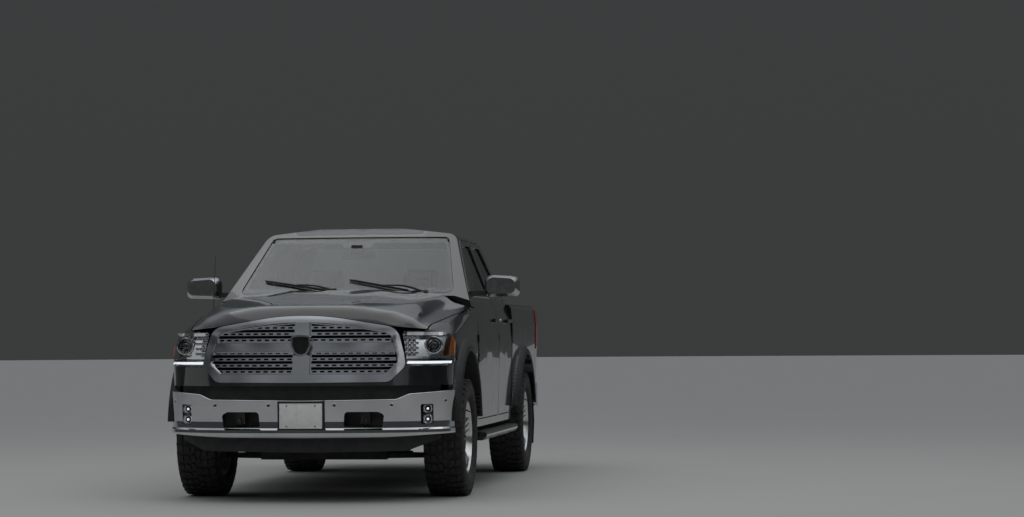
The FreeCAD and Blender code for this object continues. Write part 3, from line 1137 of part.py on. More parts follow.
cross_tube = bound_tube("cross_tube", ("-Sizes.rail_side - 2", "Sizes.rail_side + 2"), "Sizes.bed_rear_y - 200",
                        "Sizes.hitch_height", "Sizes.cross_tube_radius")
arm_reach = ("Sizes.rail_side + Sizes.seat_gap", "Sizes.rail_side + 12")
arm_run = ("Sizes.bed_rear_y - 250", "Sizes.bed_rear_y - 130")
arm_height = ("Sizes.hitch_height - 30", "640")
hitch_arms = [bound_block("hitch_arm_left", arm_reach, arm_run, arm_height),
              bound_block("hitch_arm_right", [f"-({each})" for each in reversed(arm_reach)], arm_run, arm_height)]
socket = bound_block("socket", ("-Sizes.receiver_inside / 2", "Sizes.receiver_inside / 2"),
                     ("Sizes.bed_rear_y - 150", "Sizes.rear_y + 1"),
                     [f"Sizes.hitch_height {sign} Sizes.receiver_inside / 2" for sign in "-+"])
pin_hole = bound_tube("pin_hole", ("-100", "100"), "Sizes.rear_y - 80", "Sizes.hitch_height", "Sizes.pin_bore / 2")
NODES.append(carved("hitch_receiver", united("receiver_frame", receiver_tube, cross_tube, *hitch_arms),
                    united("receiver_voids", socket, pin_hole)))

# Running boards on their brackets
BOARD_Y0 = DOOR_Y0 + 40
BOARD_Y1 = BOARD_Y0 + size("board_length")
BOARD_X0 = size("board_reach") - size("board_width")
board_section = [(BOARD_X0, size("board_top") - size("board_thick"), 10),
                 (size("board_reach") - 30, size("board_top") - size("board_thick"), 20),
                 (size("board_reach"), size("board_top") - 30, 20), (size("board_reach") - 10, size("board_top"), 10),
                 (BOARD_X0, size("board_top"), 10)]
board = front_prism(board_section, BOARD_Y0, BOARD_Y1)
arms = [block(RAIL_X1, BOARD_X0 + 20, y, y + 60, size("board_top") - 54, size("board_top") - 20)
        for y in (BOARD_Y0 + 160, BOARD_Y0 + 980, BOARD_Y0 + 1840)]
board = fused(board, *arms)
node("running_boards", board, opposite(board))

# Door mirrors: arm on the door's skin, housing outboard
mirror_head = loft([
    corner_wire([(x0, z0, 40), (x1, z0 + 8, 40), (x1, z1 - 14, 50), (x0, z1, 50)], across(y))
    for x0, x1, z0, z1, y in (
        (1026, size("mirror_reach") - 22, size("mirror_base") + 22, size("mirror_base") + 150, DOOR_Y0 + 96),
        (1004, size("mirror_reach"), size("mirror_base"), size("mirror_base") + 168, DOOR_Y0 + 160),
        (1004, size("mirror_reach"), size("mirror_base"), size("mirror_base") + 168, DOOR_Y0 + 214))
], ruled=True)
mirror_arm = plan_prism([(900, DOOR_Y0 + 96, 10), (1030, DOOR_Y0 + 140, 30), (1030, DOOR_Y0 + 196, 20),
                         (900, DOOR_Y0 + 200, 10)], BELT - 20, BELT + 16)
mirror = fused(mirror_head, mirror_arm.cut(cab_volume(-SEAT, -SEAT, -SEAT, 300)))
node("mirror_left", mirror)
node("mirror_right", opposite(mirror))

# Interior
def cushion(x0, x1, y0, y1, z0, z1, corner):
    pad = block(x0, x1, y0, y1, z0, z1)
    return pad.makeFillet(corner, pad.Edges)


seats = []
for x in (-370, 370):
    base = cushion(x - 260, x + 260, DOOR_Y0 + 560, DOOR_Y0 + 1080, FLOOR + 180, FLOOR + 330, 50)
    back = cushion(x - 260, x + 260, DOOR_Y0 + 1084, DOOR_Y0 + 1214, FLOOR + 230, FLOOR + 860, 50)
    rest = cushion(x - 140, x + 140, DOOR_Y0 + 1094, DOOR_Y0 + 1194, FLOOR + 880, FLOOR + 1070, 40)
    foot = block(x - 200, x + 200, DOOR_Y0 + 620, DOOR_Y0 + 1080, FLOOR, FLOOR + 190)
    bridge = block(x - 150, x + 150, DOOR_Y0 + 1060, DOOR_Y0 + 1180, FLOOR + 200, FLOOR + 300)
    stalk = block(x - 60, x + 60, DOOR_Y0 + 1130, DOOR_Y0 + 1150, FLOOR + 820, FLOOR + 960)
    seats.append(fused(base, back, rest, foot, bridge, stalk))
bench_base = cushion(-700, 700, DOOR_Y2 + 200, DOOR_Y2 + 640, FLOOR + 180, FLOOR + 330, 50)
bench_foot = block(-640, 640, DOOR_Y2 + 260, DOOR_Y2 + 640, FLOOR, FLOOR + 190)
bench_back = cushion(-700, 700, DOOR_Y2 + 600, DOOR_Y2 + 730, FLOOR + 220, FLOOR + 860, 50)
seats.append(fused(bench_base, bench_foot, bench_back))
node("seats", *seats)
DASH_Y = DOOR_Y0 + 40 + SEAT
dash = side_prism([(DASH_Y, 900, 20), (DOOR_Y0 + 400, 900, 60), (DOOR_Y0 + 420, 1180, 60), (DOOR_Y0 + 330, 1330, 60),
                   (DASH_Y, 1372, 30)], -780, 780)
console = block(-110, 110, DOOR_Y0 + 380, DOOR_Y0 + 1000, FLOOR, FLOOR + 300)
wheel_ring = Part.makeTorus(178, 16, Vector(0, 0, 0), Vector(0, 0, 1))
wheel_hub = Part.makeCylinder(52, 40, Vector(0, 0, -30))
wheel_bars = [Part.makeBox(170, 34, 14, Vector(10, -17, -12)), Part.makeBox(170, 34, 14, Vector(-180, -17, -12)),
              Part.makeBox(34, 170, 14, Vector(-17, -178, -12))]
column = Part.makeCylinder(30, 170, Vector(0, 0, -190))
steering_wheel = fused(wheel_ring, wheel_hub, column, *wheel_bars)
steering_wheel.Placement = Placement(Vector(370, DOOR_Y0 + 560, 1290), Rotation(Vector(1, 0, 0), -62))
node("dashboard", fused(dash, console, steering_wheel))
spare = turned([(-100, 200, 20), (-100, 345, 60), (-70, 372, 20), (70, 372, 20), (100, 345, 60), (100, 200, 20),
                (20, 190, 0), (20, 30, 0), (-20, 30, 0), (-20, 190, 0)])
spare.Placement = Placement(Vector(0, SPARE_Y, SPARE_Z + 95), Rotation(Vector(0, 1, 0), 90))
node("spare_wheel", spare)

doc.recompute()
os.makedirs("parts", exist_ok=True)
for old in os.listdir("parts"):
    os.remove(os.path.join("parts", old))
for feature in doc.Objects:
    if "Invalid" in feature.State or "Error" in feature.State:
        raise SystemExit(f"{feature.Label} failed: {feature.State}")
for feature in NODES:
    shape = feature.Shape
    if shape.isNull() or not shape.isValid():
        raise SystemExit(f"{feature.Label} has no valid shape")
for feature in NODES:
    feature.Shape.exportStep(f"parts/{feature.Label}.step")
print(len(NODES), "nodes")
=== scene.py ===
"""Looks of a black crew cab pickup truck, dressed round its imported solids.

Metres. +Z is up, -Y is the way the truck drives, +X is its left side.
"""

import json
import math

import bmesh
import bpy
import numpy as np
from mathutils import Matrix, Vector
from mathutils.bvhtree import BVHTree

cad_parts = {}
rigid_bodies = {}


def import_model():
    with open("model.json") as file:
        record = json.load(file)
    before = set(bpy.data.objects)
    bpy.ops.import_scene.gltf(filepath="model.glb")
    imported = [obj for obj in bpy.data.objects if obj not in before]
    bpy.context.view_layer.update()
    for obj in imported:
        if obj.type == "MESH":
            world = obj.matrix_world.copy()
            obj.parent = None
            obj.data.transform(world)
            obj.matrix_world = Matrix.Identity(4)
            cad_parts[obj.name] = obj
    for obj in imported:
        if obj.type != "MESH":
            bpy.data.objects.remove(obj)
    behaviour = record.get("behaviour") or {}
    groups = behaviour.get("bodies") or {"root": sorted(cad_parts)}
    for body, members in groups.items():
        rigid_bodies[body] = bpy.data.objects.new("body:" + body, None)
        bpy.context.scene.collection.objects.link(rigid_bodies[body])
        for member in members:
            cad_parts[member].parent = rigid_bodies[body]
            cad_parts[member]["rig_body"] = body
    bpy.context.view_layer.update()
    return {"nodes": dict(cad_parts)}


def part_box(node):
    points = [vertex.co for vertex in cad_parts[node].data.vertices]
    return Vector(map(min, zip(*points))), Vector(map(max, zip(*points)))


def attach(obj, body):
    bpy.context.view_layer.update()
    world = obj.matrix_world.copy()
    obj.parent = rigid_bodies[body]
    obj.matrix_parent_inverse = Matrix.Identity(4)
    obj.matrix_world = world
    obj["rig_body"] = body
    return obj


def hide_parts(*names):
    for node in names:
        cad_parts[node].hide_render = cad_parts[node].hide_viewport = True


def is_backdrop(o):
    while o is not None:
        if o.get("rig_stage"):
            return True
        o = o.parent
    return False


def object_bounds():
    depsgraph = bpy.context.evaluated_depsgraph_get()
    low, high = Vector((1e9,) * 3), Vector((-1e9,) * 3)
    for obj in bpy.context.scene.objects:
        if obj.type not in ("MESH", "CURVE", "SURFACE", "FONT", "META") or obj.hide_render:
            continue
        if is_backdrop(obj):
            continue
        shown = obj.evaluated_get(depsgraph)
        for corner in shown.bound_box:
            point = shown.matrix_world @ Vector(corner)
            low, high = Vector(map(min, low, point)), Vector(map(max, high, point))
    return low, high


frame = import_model()
NODES = frame["nodes"]

AXLE_FRONT = -1.8725
AXLE_REAR = 1.6965
HUB_HEIGHT = 0.415
HALF_TRACK = 0.878
SIGNS = (1, -1)
SIDES = (("left", 1), ("right", -1))
ENDS = ("front", "rear")
DOORS = [(end, side, sign) for end in ENDS for side, sign in SIDES]
WHEELS = [(end, side, sign, y) for end, y in zip(ENDS, (AXLE_FRONT, AXLE_REAR)) for side, sign in SIDES]
UP, DOWN = Vector((0, 0, 1)), Vector((0, 0, -1))
AHEAD, BACK = Vector((0, 1, 0)), Vector((0, -1, 0))  # the ways rays are cast from the front and from behind


# Camera, floor and light

CAMERA_PLACE, CAMERA_ANGLES = (3.598, -20.957, 1.110), (6.80, 1.69, -0.32)
CAMERA_LENS, CAMERA_SENSOR, CAMERA_REACH = 95.33, 36, 500
SKY_LOW, SKY_HIGH = (0.070, 0.074, 0.073, 1), (0.97, 0.985, 1.0, 1)
SKY_STOPS = ((0.30, (0.07, 0.08, 0.08, 1)), (0.46, (0.42, 0.45, 0.48, 1)), (0.66, (0.86, 0.90, 0.95, 1)))
SKY_STRENGTH = 0.62
LAMPS = (("overhead", (0.5, -2.0, 8.5), (0, 0, 0), (11.0, 14.0), 250),
         ("front_left", (9.0, -8.0, 7.5), (math.radians(52), 0, math.radians(48)), (10.0, 8.0), 80),
         ("right_fill", (-9.0, -4.0, 4.0), (math.radians(70), 0, math.radians(-68)), (6.0, 4.0), 30))
FLOOR_REACH, FLOOR_CORNERS = 140.0, 48


def aim(position, yaw, pitch, roll):
    """Camera matrix from its place and its angles in degrees."""
    yaw, pitch, roll = math.radians(yaw), math.radians(pitch), math.radians(roll)
    ahead = Vector((-math.sin(yaw) * math.cos(pitch), math.cos(yaw) * math.cos(pitch), math.sin(pitch)))
    right = Vector((math.cos(yaw), math.sin(yaw), 0))
    up = right.cross(ahead)
    across = right * math.cos(roll) + up * math.sin(roll)
    over = up * math.cos(roll) - right * math.sin(roll)
    turned = Matrix((across, over, -ahead)).transposed().to_4x4()
    return Matrix.Translation(position) @ turned


def set_stage():
    scene = bpy.context.scene
    scene.view_settings.view_transform = "Standard"
    lens = bpy.data.cameras.new("camera")
    lens.lens, lens.sensor_width, lens.clip_end = CAMERA_LENS, CAMERA_SENSOR, CAMERA_REACH
    camera = bpy.data.objects.new("camera", lens)
    camera.matrix_world = aim(CAMERA_PLACE, *CAMERA_ANGLES)
    scene.collection.objects.link(camera)
    scene.camera = camera

    world = bpy.data.worlds.new("studio")
    world.use_nodes = True
    nodes, links = world.node_tree.nodes, world.node_tree.links
    height = nodes.new("ShaderNodeSeparateXYZ")
    place = nodes.new("ShaderNodeTexCoord")
    ramp = nodes.new("ShaderNodeValToRGB")
    stops = ramp.color_ramp.elements
    stops[0].position, stops[0].color = 0.0, SKY_LOW
    stops[1].position, stops[1].color = 1.0, SKY_HIGH
    for position, colour in SKY_STOPS:
        stops.new(position).color = colour
    links.new(place.outputs["Generated"], height.inputs[0])
    links.new(height.outputs["Z"], ramp.inputs["Fac"])
    links.new(ramp.outputs["Color"], nodes["Background"].inputs["Color"])
    nodes["Background"].inputs["Strength"].default_value = SKY_STRENGTH
    scene.world = world

    for name, spot, turn, size, power in LAMPS:
        lamp = bpy.data.lights.new(name, "AREA")
        lamp.shape = "RECTANGLE"
        lamp.size, lamp.size_y = size
        lamp.energy = power
        holder = bpy.data.objects.new(name, lamp)
        holder.location = spot
        holder.rotation_euler = turn
        scene.collection.objects.link(holder)

    floor_mesh = bpy.data.meshes.new("floor")
    angles = np.linspace(0, math.tau, FLOOR_CORNERS, endpoint=False)
    rim = [(FLOOR_REACH * math.cos(a), FLOOR_REACH * math.sin(a), 0) for a in angles]
    floor_mesh.from_pydata(rim, [], [tuple(range(FLOOR_CORNERS))])
    floor = bpy.data.objects.new("floor", floor_mesh)
    scene.collection.objects.link(floor)
    floor_mesh.materials.append(floor_finish())
    floor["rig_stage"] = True


# Finishes: each is a Principled shader with its detail wired from Object coordinates

class Finish:
    """One procedural finish; its methods add detail to it."""

    def __init__(self, name, colour, roughness, sockets):
        self.material = bpy.data.materials.new(name)
        self.material.use_nodes = True
        self.nodes = self.material.node_tree.nodes
        self.links = self.material.node_tree.links
        self.shader = self.nodes["Principled BSDF"]
        self.shader.inputs["Base Color"].default_value = (*colour, 1)
        self.shader.inputs["Roughness"].default_value = roughness
        for key, value in sockets.items():
            self.shader.inputs[key].default_value = value
        self.coordinates = self.nodes.new("ShaderNodeTexCoord").outputs["Object"]

    def noise(self, scale, detail=3.0, stretch=None):
        node = self.nodes.new("ShaderNodeTexNoise")
        node.inputs["Scale"].default_value = scale
        node.inputs["Detail"].default_value = detail
        source = self.coordinates
        if stretch:
            mapping = self.nodes.new("ShaderNodeMapping")
            mapping.inputs["Scale"].default_value = stretch
            self.links.new(source, mapping.inputs["Vector"])
            source = mapping.outputs["Vector"]
        self.links.new(source, node.inputs["Vector"])
        return node.outputs["Fac"]

    def cells(self, scale, feature="F1"):
        node = self.nodes.new("ShaderNodeTexVoronoi")
        node.feature = feature
        node.inputs["Scale"].default_value = scale
        self.links.new(self.coordinates, node.inputs["Vector"])
        return node.outputs["Distance"]

    def waves(self, scale, direction):
        node = self.nodes.new("ShaderNodeTexWave")
        node.bands_direction = direction
        node.inputs["Scale"].default_value = scale
        self.links.new(self.coordinates, node.inputs["Vector"])
        return node.outputs["Fac"]

    def dust(self, low, high, scale, detail):
        """Noise that fades out from the low height to the high one."""
        split = self.nodes.new("ShaderNodeSeparateXYZ")
        self.links.new(self.coordinates, split.inputs[0])
        level = self.graded(split.outputs["Z"], 0, 1, low, high)
        product = self.nodes.new("ShaderNodeMath")
        product.operation = "MULTIPLY"
        self.links.new(self.graded(level, 1, 0), product.inputs[0])
        self.links.new(self.noise(scale, detail), product.inputs[1])
        return product.outputs[0]

    def graded(self, value, low, high, start=0.0, stop=1.0):
        node = self.nodes.new("ShaderNodeMapRange")
        for label, bound in (("From Min", start), ("From Max", stop), ("To Min", low), ("To Max", high)):
            node.inputs[label].default_value = bound
        self.links.new(value, node.inputs["Value"])
        return node.outputs["Result"]

    def tinted(self, value, *stops):
        """Base colour from a ramp; stops are (position, colour)."""
        ramp = self.nodes.new("ShaderNodeValToRGB")
        elements = ramp.color_ramp.elements
        while len(elements) < len(stops):
            elements.new(0.5)
        for element, (position, colour) in zip(elements, stops):
            element.position = position
            element.color = (*colour, 1)
        self.links.new(value, ramp.inputs["Fac"])
        self.links.new(ramp.outputs["Color"], self.shader.inputs["Base Color"])

    def roughened(self, value, low, high):
        self.links.new(self.graded(value, low, high, 0.3, 0.7), self.shader.inputs["Roughness"])

    def embossed(self, value, depth, strength):
        bump = self.nodes.new("ShaderNodeBump")
        bump.inputs["Distance"].default_value = depth
        bump.inputs["Strength"].default_value = strength
        self.links.new(value, bump.inputs["Height"])
        self.links.new(bump.outputs["Normal"], self.shader.inputs["Normal"])


NOISE, CELLS, WAVES, DUST = Finish.noise, Finish.cells, Finish.waves, Finish.dust


def coated(name, colour, roughness, tint, rough=None, relief=None, **sockets):
    """A material varied in colour, roughness and relief: each starts with a pattern and its numbers, then has
    colour stops, the least and most roughness, or depth and strength. A socket's spaces are written as _."""
    made = Finish(name, colour, roughness, {key.replace("_", " "): value for key, value in sockets.items()})
    for use, given in ((made.tinted, tint), (made.roughened, rough), (made.embossed, relief)):
        if given:
            (pattern, *numbers), *rest = given
            use(pattern(made, *numbers), *rest)
    return made.material


def floor_finish():
    return coated("floor", (0.38, 0.38, 0.37), 0.8,
                  ((NOISE, 0.8, 4), (0.35, (0.377, 0.377, 0.367)), (0.65, (0.385, 0.385, 0.375))),
                  relief=((NOISE, 60), 0.0006, 0.3))


def clear_glass(name, colour):
    return coated(name, colour, 0.0, ((NOISE, 2, 2), (0.3, tuple(c * 0.97 for c in colour)), (0.7, colour)),
                  ((NOISE, 3, 4), 0.0, 0.006), Transmission_Weight=1.0, IOR=1.45)


def coloured_lens(name, dark, light):
    return coated(name, light, 0.08, ((WAVES, 34, "Z"), (0.35, dark), (0.65, light)), ((NOISE, 8, 3), 0.05, 0.12),
                  ((WAVES, 60, "Z"), 0.0008, 0.4),
                  Transmission_Weight=0.35, IOR=1.4, Coat_Weight=0.6, Coat_Roughness=0.03)


PAINT = coated("gloss_black_paint", (0.006, 0.006, 0.008), 0.12,
               ((DUST, 0.45, 0.95, 7, 6), (0.25, (0.0055, 0.0055, 0.007)), (0.75, (0.05, 0.043, 0.034))),
               ((NOISE, 5, 5), 0.10, 0.22), ((NOISE, 260, 1), 0.00003, 0.25),
               Coat_Weight=1.0, Coat_Roughness=0.015, Metallic=0.15)
INNER_PAINT = coated("satin_black_paint", (0.012, 0.012, 0.013), 0.45,
                     ((NOISE, 14, 5), (0.35, (0.010, 0.010, 0.011)), (0.7, (0.022, 0.021, 0.02))),
                     ((NOISE, 9, 4), 0.35, 0.6), ((NOISE, 180, 2), 0.0001, 0.3))
CHROME = coated("chrome_plate", (0.60, 0.61, 0.63), 0.05,
                ((NOISE, 4, 4), (0.3, (0.55, 0.56, 0.58)), (0.7, (0.66, 0.67, 0.68))),
                ((NOISE, 30, 5), 0.035, 0.11), ((NOISE, 90, 2), 0.00005, 0.2), Metallic=1.0)
ALLOY = coated("polished_alloy", (0.72, 0.73, 0.74), 0.14,
               ((NOISE, 11, 5), (0.3, (0.62, 0.62, 0.62)), (0.7, (0.80, 0.80, 0.80))),
               ((NOISE, 26, 5), 0.10, 0.26), ((NOISE, 140, 2), 0.00006, 0.3), Metallic=1.0)
POCKET = coated("grey_pocket_paint", (0.10, 0.10, 0.11), 0.4,
                ((NOISE, 16, 5), (0.3, (0.075, 0.072, 0.07)), (0.75, (0.14, 0.135, 0.13))),
                ((NOISE, 20, 4), 0.35, 0.6), ((NOISE, 500, 2), 0.0001, 0.3), Metallic=0.6)
RUBBER = coated("tyre_rubber", (0.02, 0.02, 0.02), 0.85,
                ((NOISE, 22, 6), (0.35, (0.014, 0.014, 0.0145)), (0.62, (0.03, 0.028, 0.026)),
                 (0.85, (0.075, 0.065, 0.052))),
                ((NOISE, 35, 4), 0.62, 0.95), ((NOISE, 420, 3), 0.0003, 0.5))
PLASTIC = coated("grained_black_plastic", (0.02, 0.02, 0.021), 0.5,
                 ((NOISE, 12, 5), (0.35, (0.010, 0.010, 0.011)), (0.75, (0.022, 0.021, 0.020))),
                 ((NOISE, 18, 4), 0.50, 0.74), ((CELLS, 900), 0.00012, 0.5))
GLOSS_PLASTIC = coated("gloss_black_plastic", (0.008, 0.008, 0.009), 0.12,
                       ((NOISE, 20, 3), (0.4, (0.006, 0.006, 0.007)), (0.7, (0.013, 0.013, 0.014))),
                       ((NOISE, 15, 4), 0.08, 0.2), Coat_Weight=0.4, Coat_Roughness=0.05)
CHASSIS = coated("chassis_coating", (0.02, 0.02, 0.02), 0.5,
                 ((NOISE, 9, 7), (0.35, (0.016, 0.016, 0.017)), (0.62, (0.035, 0.032, 0.028)),
                  (0.85, (0.10, 0.082, 0.060))),
                 ((NOISE, 14, 5), 0.38, 0.8), ((NOISE, 120, 4), 0.0005, 0.4), Metallic=0.2)
CAST = coated("cast_alloy", (0.34, 0.34, 0.33), 0.5,
              ((NOISE, 8, 6), (0.3, (0.20, 0.19, 0.18)), (0.7, (0.40, 0.40, 0.39))),
              ((NOISE, 30, 5), 0.38, 0.62), ((NOISE, 300, 3), 0.0004, 0.5), Metallic=0.85)
EXHAUST = coated("exhaust_steel", (0.34, 0.31, 0.28), 0.4,
                 ((NOISE, 5, 6), (0.25, (0.17, 0.11, 0.07)), (0.5, (0.33, 0.30, 0.27)), (0.8, (0.45, 0.44, 0.43))),
                 ((NOISE, 20, 5), 0.28, 0.55), ((NOISE, 200, 3), 0.0002, 0.3), Metallic=0.95)
BRAKE = coated("brake_steel", (0.45, 0.44, 0.43), 0.3,
               ((NOISE, 12, 5), (0.3, (0.30, 0.28, 0.26)), (0.7, (0.50, 0.49, 0.48))),
               ((NOISE, 60, 4, (0.1, 1, 1)), 0.22, 0.42), Metallic=1.0)
GLASS = clear_glass("tinted_glass", (0.50, 0.56, 0.55))
DARK_GLASS = clear_glass("privacy_glass", (0.16, 0.18, 0.19))
LENS = coated("clear_lens", (0.96, 0.97, 0.98), 0.01,
              ((NOISE, 4, 2), (0.3, (0.93, 0.94, 0.95)), (0.7, (0.97, 0.98, 0.99))),
              ((NOISE, 6, 3), 0.0, 0.02), Transmission_Weight=1.0, IOR=1.2)
RED_LENS = coloured_lens("red_lens", (0.18, 0.004, 0.004), (0.52, 0.015, 0.012))
AMBER_LENS = coloured_lens("amber_lens", (0.30, 0.07, 0.006), (0.55, 0.16, 0.015))
LEATHER = coated("grained_leather", (0.03, 0.028, 0.026), 0.5,
                 ((NOISE, 6, 5), (0.3, (0.022, 0.020, 0.019)), (0.7, (0.042, 0.039, 0.036))),
                 ((NOISE, 40, 4), 0.38, 0.6), ((CELLS, 420, "DISTANCE_TO_EDGE"), 0.0004, 0.5), Sheen_Weight=0.1)
TRIM = coated("soft_touch_trim", (0.035, 0.034, 0.033), 0.6,
              ((NOISE, 7, 4), (0.3, (0.028, 0.027, 0.026)), (0.7, (0.046, 0.044, 0.042))),
              ((NOISE, 25, 4), 0.5, 0.75), ((CELLS, 650), 0.0002, 0.5))
LINING = coated("roof_lining_cloth", (0.30, 0.29, 0.27), 0.95,
                ((NOISE, 300, 3), (0.3, (0.24, 0.23, 0.215)), (0.7, (0.35, 0.34, 0.32))),
                ((NOISE, 30), 0.88, 1.0), ((CELLS, 700), 0.0004, 0.6), Sheen_Weight=0.3)
CARPET = coated("carpet", (0.03, 0.03, 0.03), 1.0,
                ((NOISE, 260, 4), (0.3, (0.016, 0.016, 0.016)), (0.7, (0.05, 0.048, 0.046))),
                ((NOISE, 30), 0.9, 1.0), ((NOISE, 420, 4), 0.002, 0.8), Sheen_Weight=0.3)
COATING = coated("bed_coating", (0.02, 0.02, 0.02), 0.8,
                 ((NOISE, 10, 5), (0.3, (0.016, 0.016, 0.016)), (0.75, (0.038, 0.036, 0.034))),
                 ((NOISE, 60, 4), 0.6, 0.9), ((CELLS, 260), 0.0012, 0.7))
MIRROR = coated("mirror_glass", (0.75, 0.78, 0.80), 0.02,
                ((NOISE, 3), (0.3, (0.70, 0.73, 0.76)), (0.7, (0.78, 0.80, 0.82))),
                ((NOISE, 9, 4), 0.01, 0.04), Metallic=1.0)
ENAMEL = coated("plate_enamel", (0.78, 0.78, 0.76), 0.3,
                ((NOISE, 20, 5), (0.3, (0.70, 0.70, 0.68)), (0.7, (0.80, 0.80, 0.785))),
                ((NOISE, 25, 4), 0.22, 0.4))
LAMP_COLOUR = (0.92, 0.95, 1.0)
LAMP_WHITE = coated("lamp_element", LAMP_COLOUR, 0.3,
                    ((NOISE, 30), (0.3, tuple(c * 0.85 for c in LAMP_COLOUR)), (0.7, LAMP_COLOUR)),
                    Emission_Color=(*LAMP_COLOUR, 1), Emission_Strength=0.8)
BLACK_GLASS = coated("projector_glass", (0.01, 0.011, 0.013), 0.03,
                     ((NOISE, 30), (0.3, (0.008, 0.009, 0.011)), (0.7, (0.02, 0.022, 0.026))),
                     ((NOISE, 9, 3), 0.02, 0.06), Coat_Weight=1.0, Coat_Roughness=0.0)


# Making pieces

def place_piece(mesh, name, body, replaced=()):
    """Puts a finished mesh in the scene as a piece that rides on a body."""
    piece = bpy.data.objects.new(name, mesh)
    bpy.context.scene.collection.objects.link(piece)
    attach(piece, body)
    if replaced:
        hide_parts(*replaced)
    return piece


WELD = 1e-5  # corners closer than this are one
ON_AXIS = 1e-7
SMOOTH_ANGLE = 30
MATCH_GRID = 20000  # steps to the metre at which a CAD node's corners are matched


class Former:
    """Collects the faces of one piece and makes it."""

    def __init__(self, *finishes):
        self.finishes = finishes
        self.work = bmesh.new()

    def add(self, vertices, faces, finish=0):
        made = [self.work.verts.new(v) for v in vertices]
        new_faces = []
        for face in faces:
            try:
                new = self.work.faces.new([made[i] for i in face])
            except ValueError:
                continue
            new.material_index = finish
            new_faces.append(new)
        return made, new_faces

    def slab(self, low, high, bevel=0.0, finish=0, segments=2):
        """A bevelled block between two corners."""
        low, high = Vector(low), Vector(high)
        middle, half = (low + high) / 2, (high - low) / 2
        corners = [Vector((x * half.x, y * half.y, z * half.z)) for x in (-1, 1) for y in (-1, 1) for z in (-1, 1)]
        faces = [(0, 1, 3, 2), (4, 6, 7, 5), (0, 4, 5, 1), (2, 3, 7, 6), (0, 2, 6, 4), (1, 5, 7, 3)]
        made, new_faces = self.add(corners, faces, finish)
        if bevel:
            bevelled = self.bevel(new_faces, bevel, segments)
            made = list({v for f in bevelled for v in f.verts} | {v for v in made if v.is_valid})
            for face in {f for v in made for f in v.link_faces}:
                face.material_index = finish
        for vertex in made:
            vertex.co += middle

    def bevel(self, faces, width, segments=2):
        return bmesh.ops.bevel(self.work, geom=list({e for f in faces for e in f.edges}), offset=width,
                               segments=segments, affect="EDGES", profile=0.5, clamp_overlap=True)["faces"]

    def lathe(self, profile, centre, axis, steps=48, finish=0):
        """Turned body: profile is (along the axis, radius), a closed loop unless it starts or ends on the axis."""
        axis = Vector(axis).normalized()
        side = axis.orthogonal().normalized()
        other = axis.cross(side)
        centre = Vector(centre)
        rings = []
        for along, radius in profile:
            if radius < ON_AXIS:
                rings.append([self.work.verts.new(centre + axis * along)])
                continue
            middle = centre + axis * along
            angles = [math.tau * k / steps for k in range(steps)]
            rings.append([self.work.verts.new(middle + (side * math.cos(a) + other * math.sin(a)) * radius)
                          for a in angles])
        pairs = list(zip(rings, rings[1:]))
        if len(rings[0]) > 1 and len(rings[-1]) > 1:
            pairs.append((rings[-1], rings[0]))
        for low, high in pairs:
            for k in range(steps):
                corners = [low[k % len(low)], low[(k + 1) % len(low)], high[(k + 1) % len(high)], high[k % len(high)]]
                unique = list(dict.fromkeys(corners))
                if len(unique) > 2:
                    self.work.faces.new(unique).material_index = finish

    def tube(self, points, radius, finish=0, steps=10, smooth=0):
        """Round bar through points; radius may be one value or one for each point."""
        points = [Vector(p) for p in points]
        radii = list(radius) if hasattr(radius, "__len__") else [radius] * len(points)
        for _ in range(smooth):
            fresh, fresh_radii = [points[0]], [radii[0]]
            for i in range(len(points) - 1):
                for share in (0.25, 0.75):
                    fresh.append(points[i].lerp(points[i + 1], share))
                    fresh_radii.append(radii[i] * (1 - share) + radii[i + 1] * share)
            points, radii = fresh + [points[-1]], fresh_radii + [radii[-1]]
        rings = []
        side = None
        for i, point in enumerate(points):
            way = (points[min(i + 1, len(points) - 1)] - points[max(i - 1, 0)]).normalized()
            side = way.orthogonal().normalized() if side is None else (side - way * side.dot(way)).normalized()
            other = way.cross(side)
            rings.append([self.work.verts.new(point + (side * math.cos(math.tau * k / steps)
                                                       + other * math.sin(math.tau * k / steps)) * radii[i])
                          for k in range(steps)])
        for low, high in zip(rings, rings[1:]):
            for k in range(steps):
                face = self.work.faces.new((low[k], low[(k + 1) % steps], high[(k + 1) % steps], high[k]))
                face.material_index = finish
        for ring in (rings[0][::-1], rings[-1]):
            self.work.faces.new(ring).material_index = finish

    def prism(self, outline, shift, finish=0, bevel=0.0):
        """A closed outline of 3-D points pushed along a vector."""
        outline = [Vector(p) for p in outline]
        shift = Vector(shift)
        n = len(outline)
        vertices = outline + [p + shift for p in outline]
        faces = [tuple(range(n))[::-1], tuple(range(n, 2 * n))]
        faces += [(i, (i + 1) % n, n + (i + 1) % n, n + i) for i in range(n)]
        _, new_faces = self.add(vertices, faces, finish)
        if bevel:
            for face in self.bevel(new_faces[:2], bevel):
                face.material_index = finish

    def mesh(self, name, crease=30, merge=0):
        work = self.work
        if merge:
            bmesh.ops.remove_doubles(work, verts=work.verts, dist=merge)
        bmesh.ops.recalc_face_normals(work, faces=work.faces)
        for face in work.faces:
            face.smooth = True
        for edge in work.edges:
            edge.smooth = len(edge.link_faces) == 2 and edge.calc_face_angle(0.0) < math.radians(crease)
        mesh = bpy.data.meshes.new(name)
        work.to_mesh(mesh)
        work.free()
        for finish in self.finishes:
            mesh.materials.append(finish)
        return mesh

    def done(self, name, slot, body="root", replaced=(), crease=30, merge=0):
        return place_piece(self.mesh(name, crease, merge), name, body, replaced)


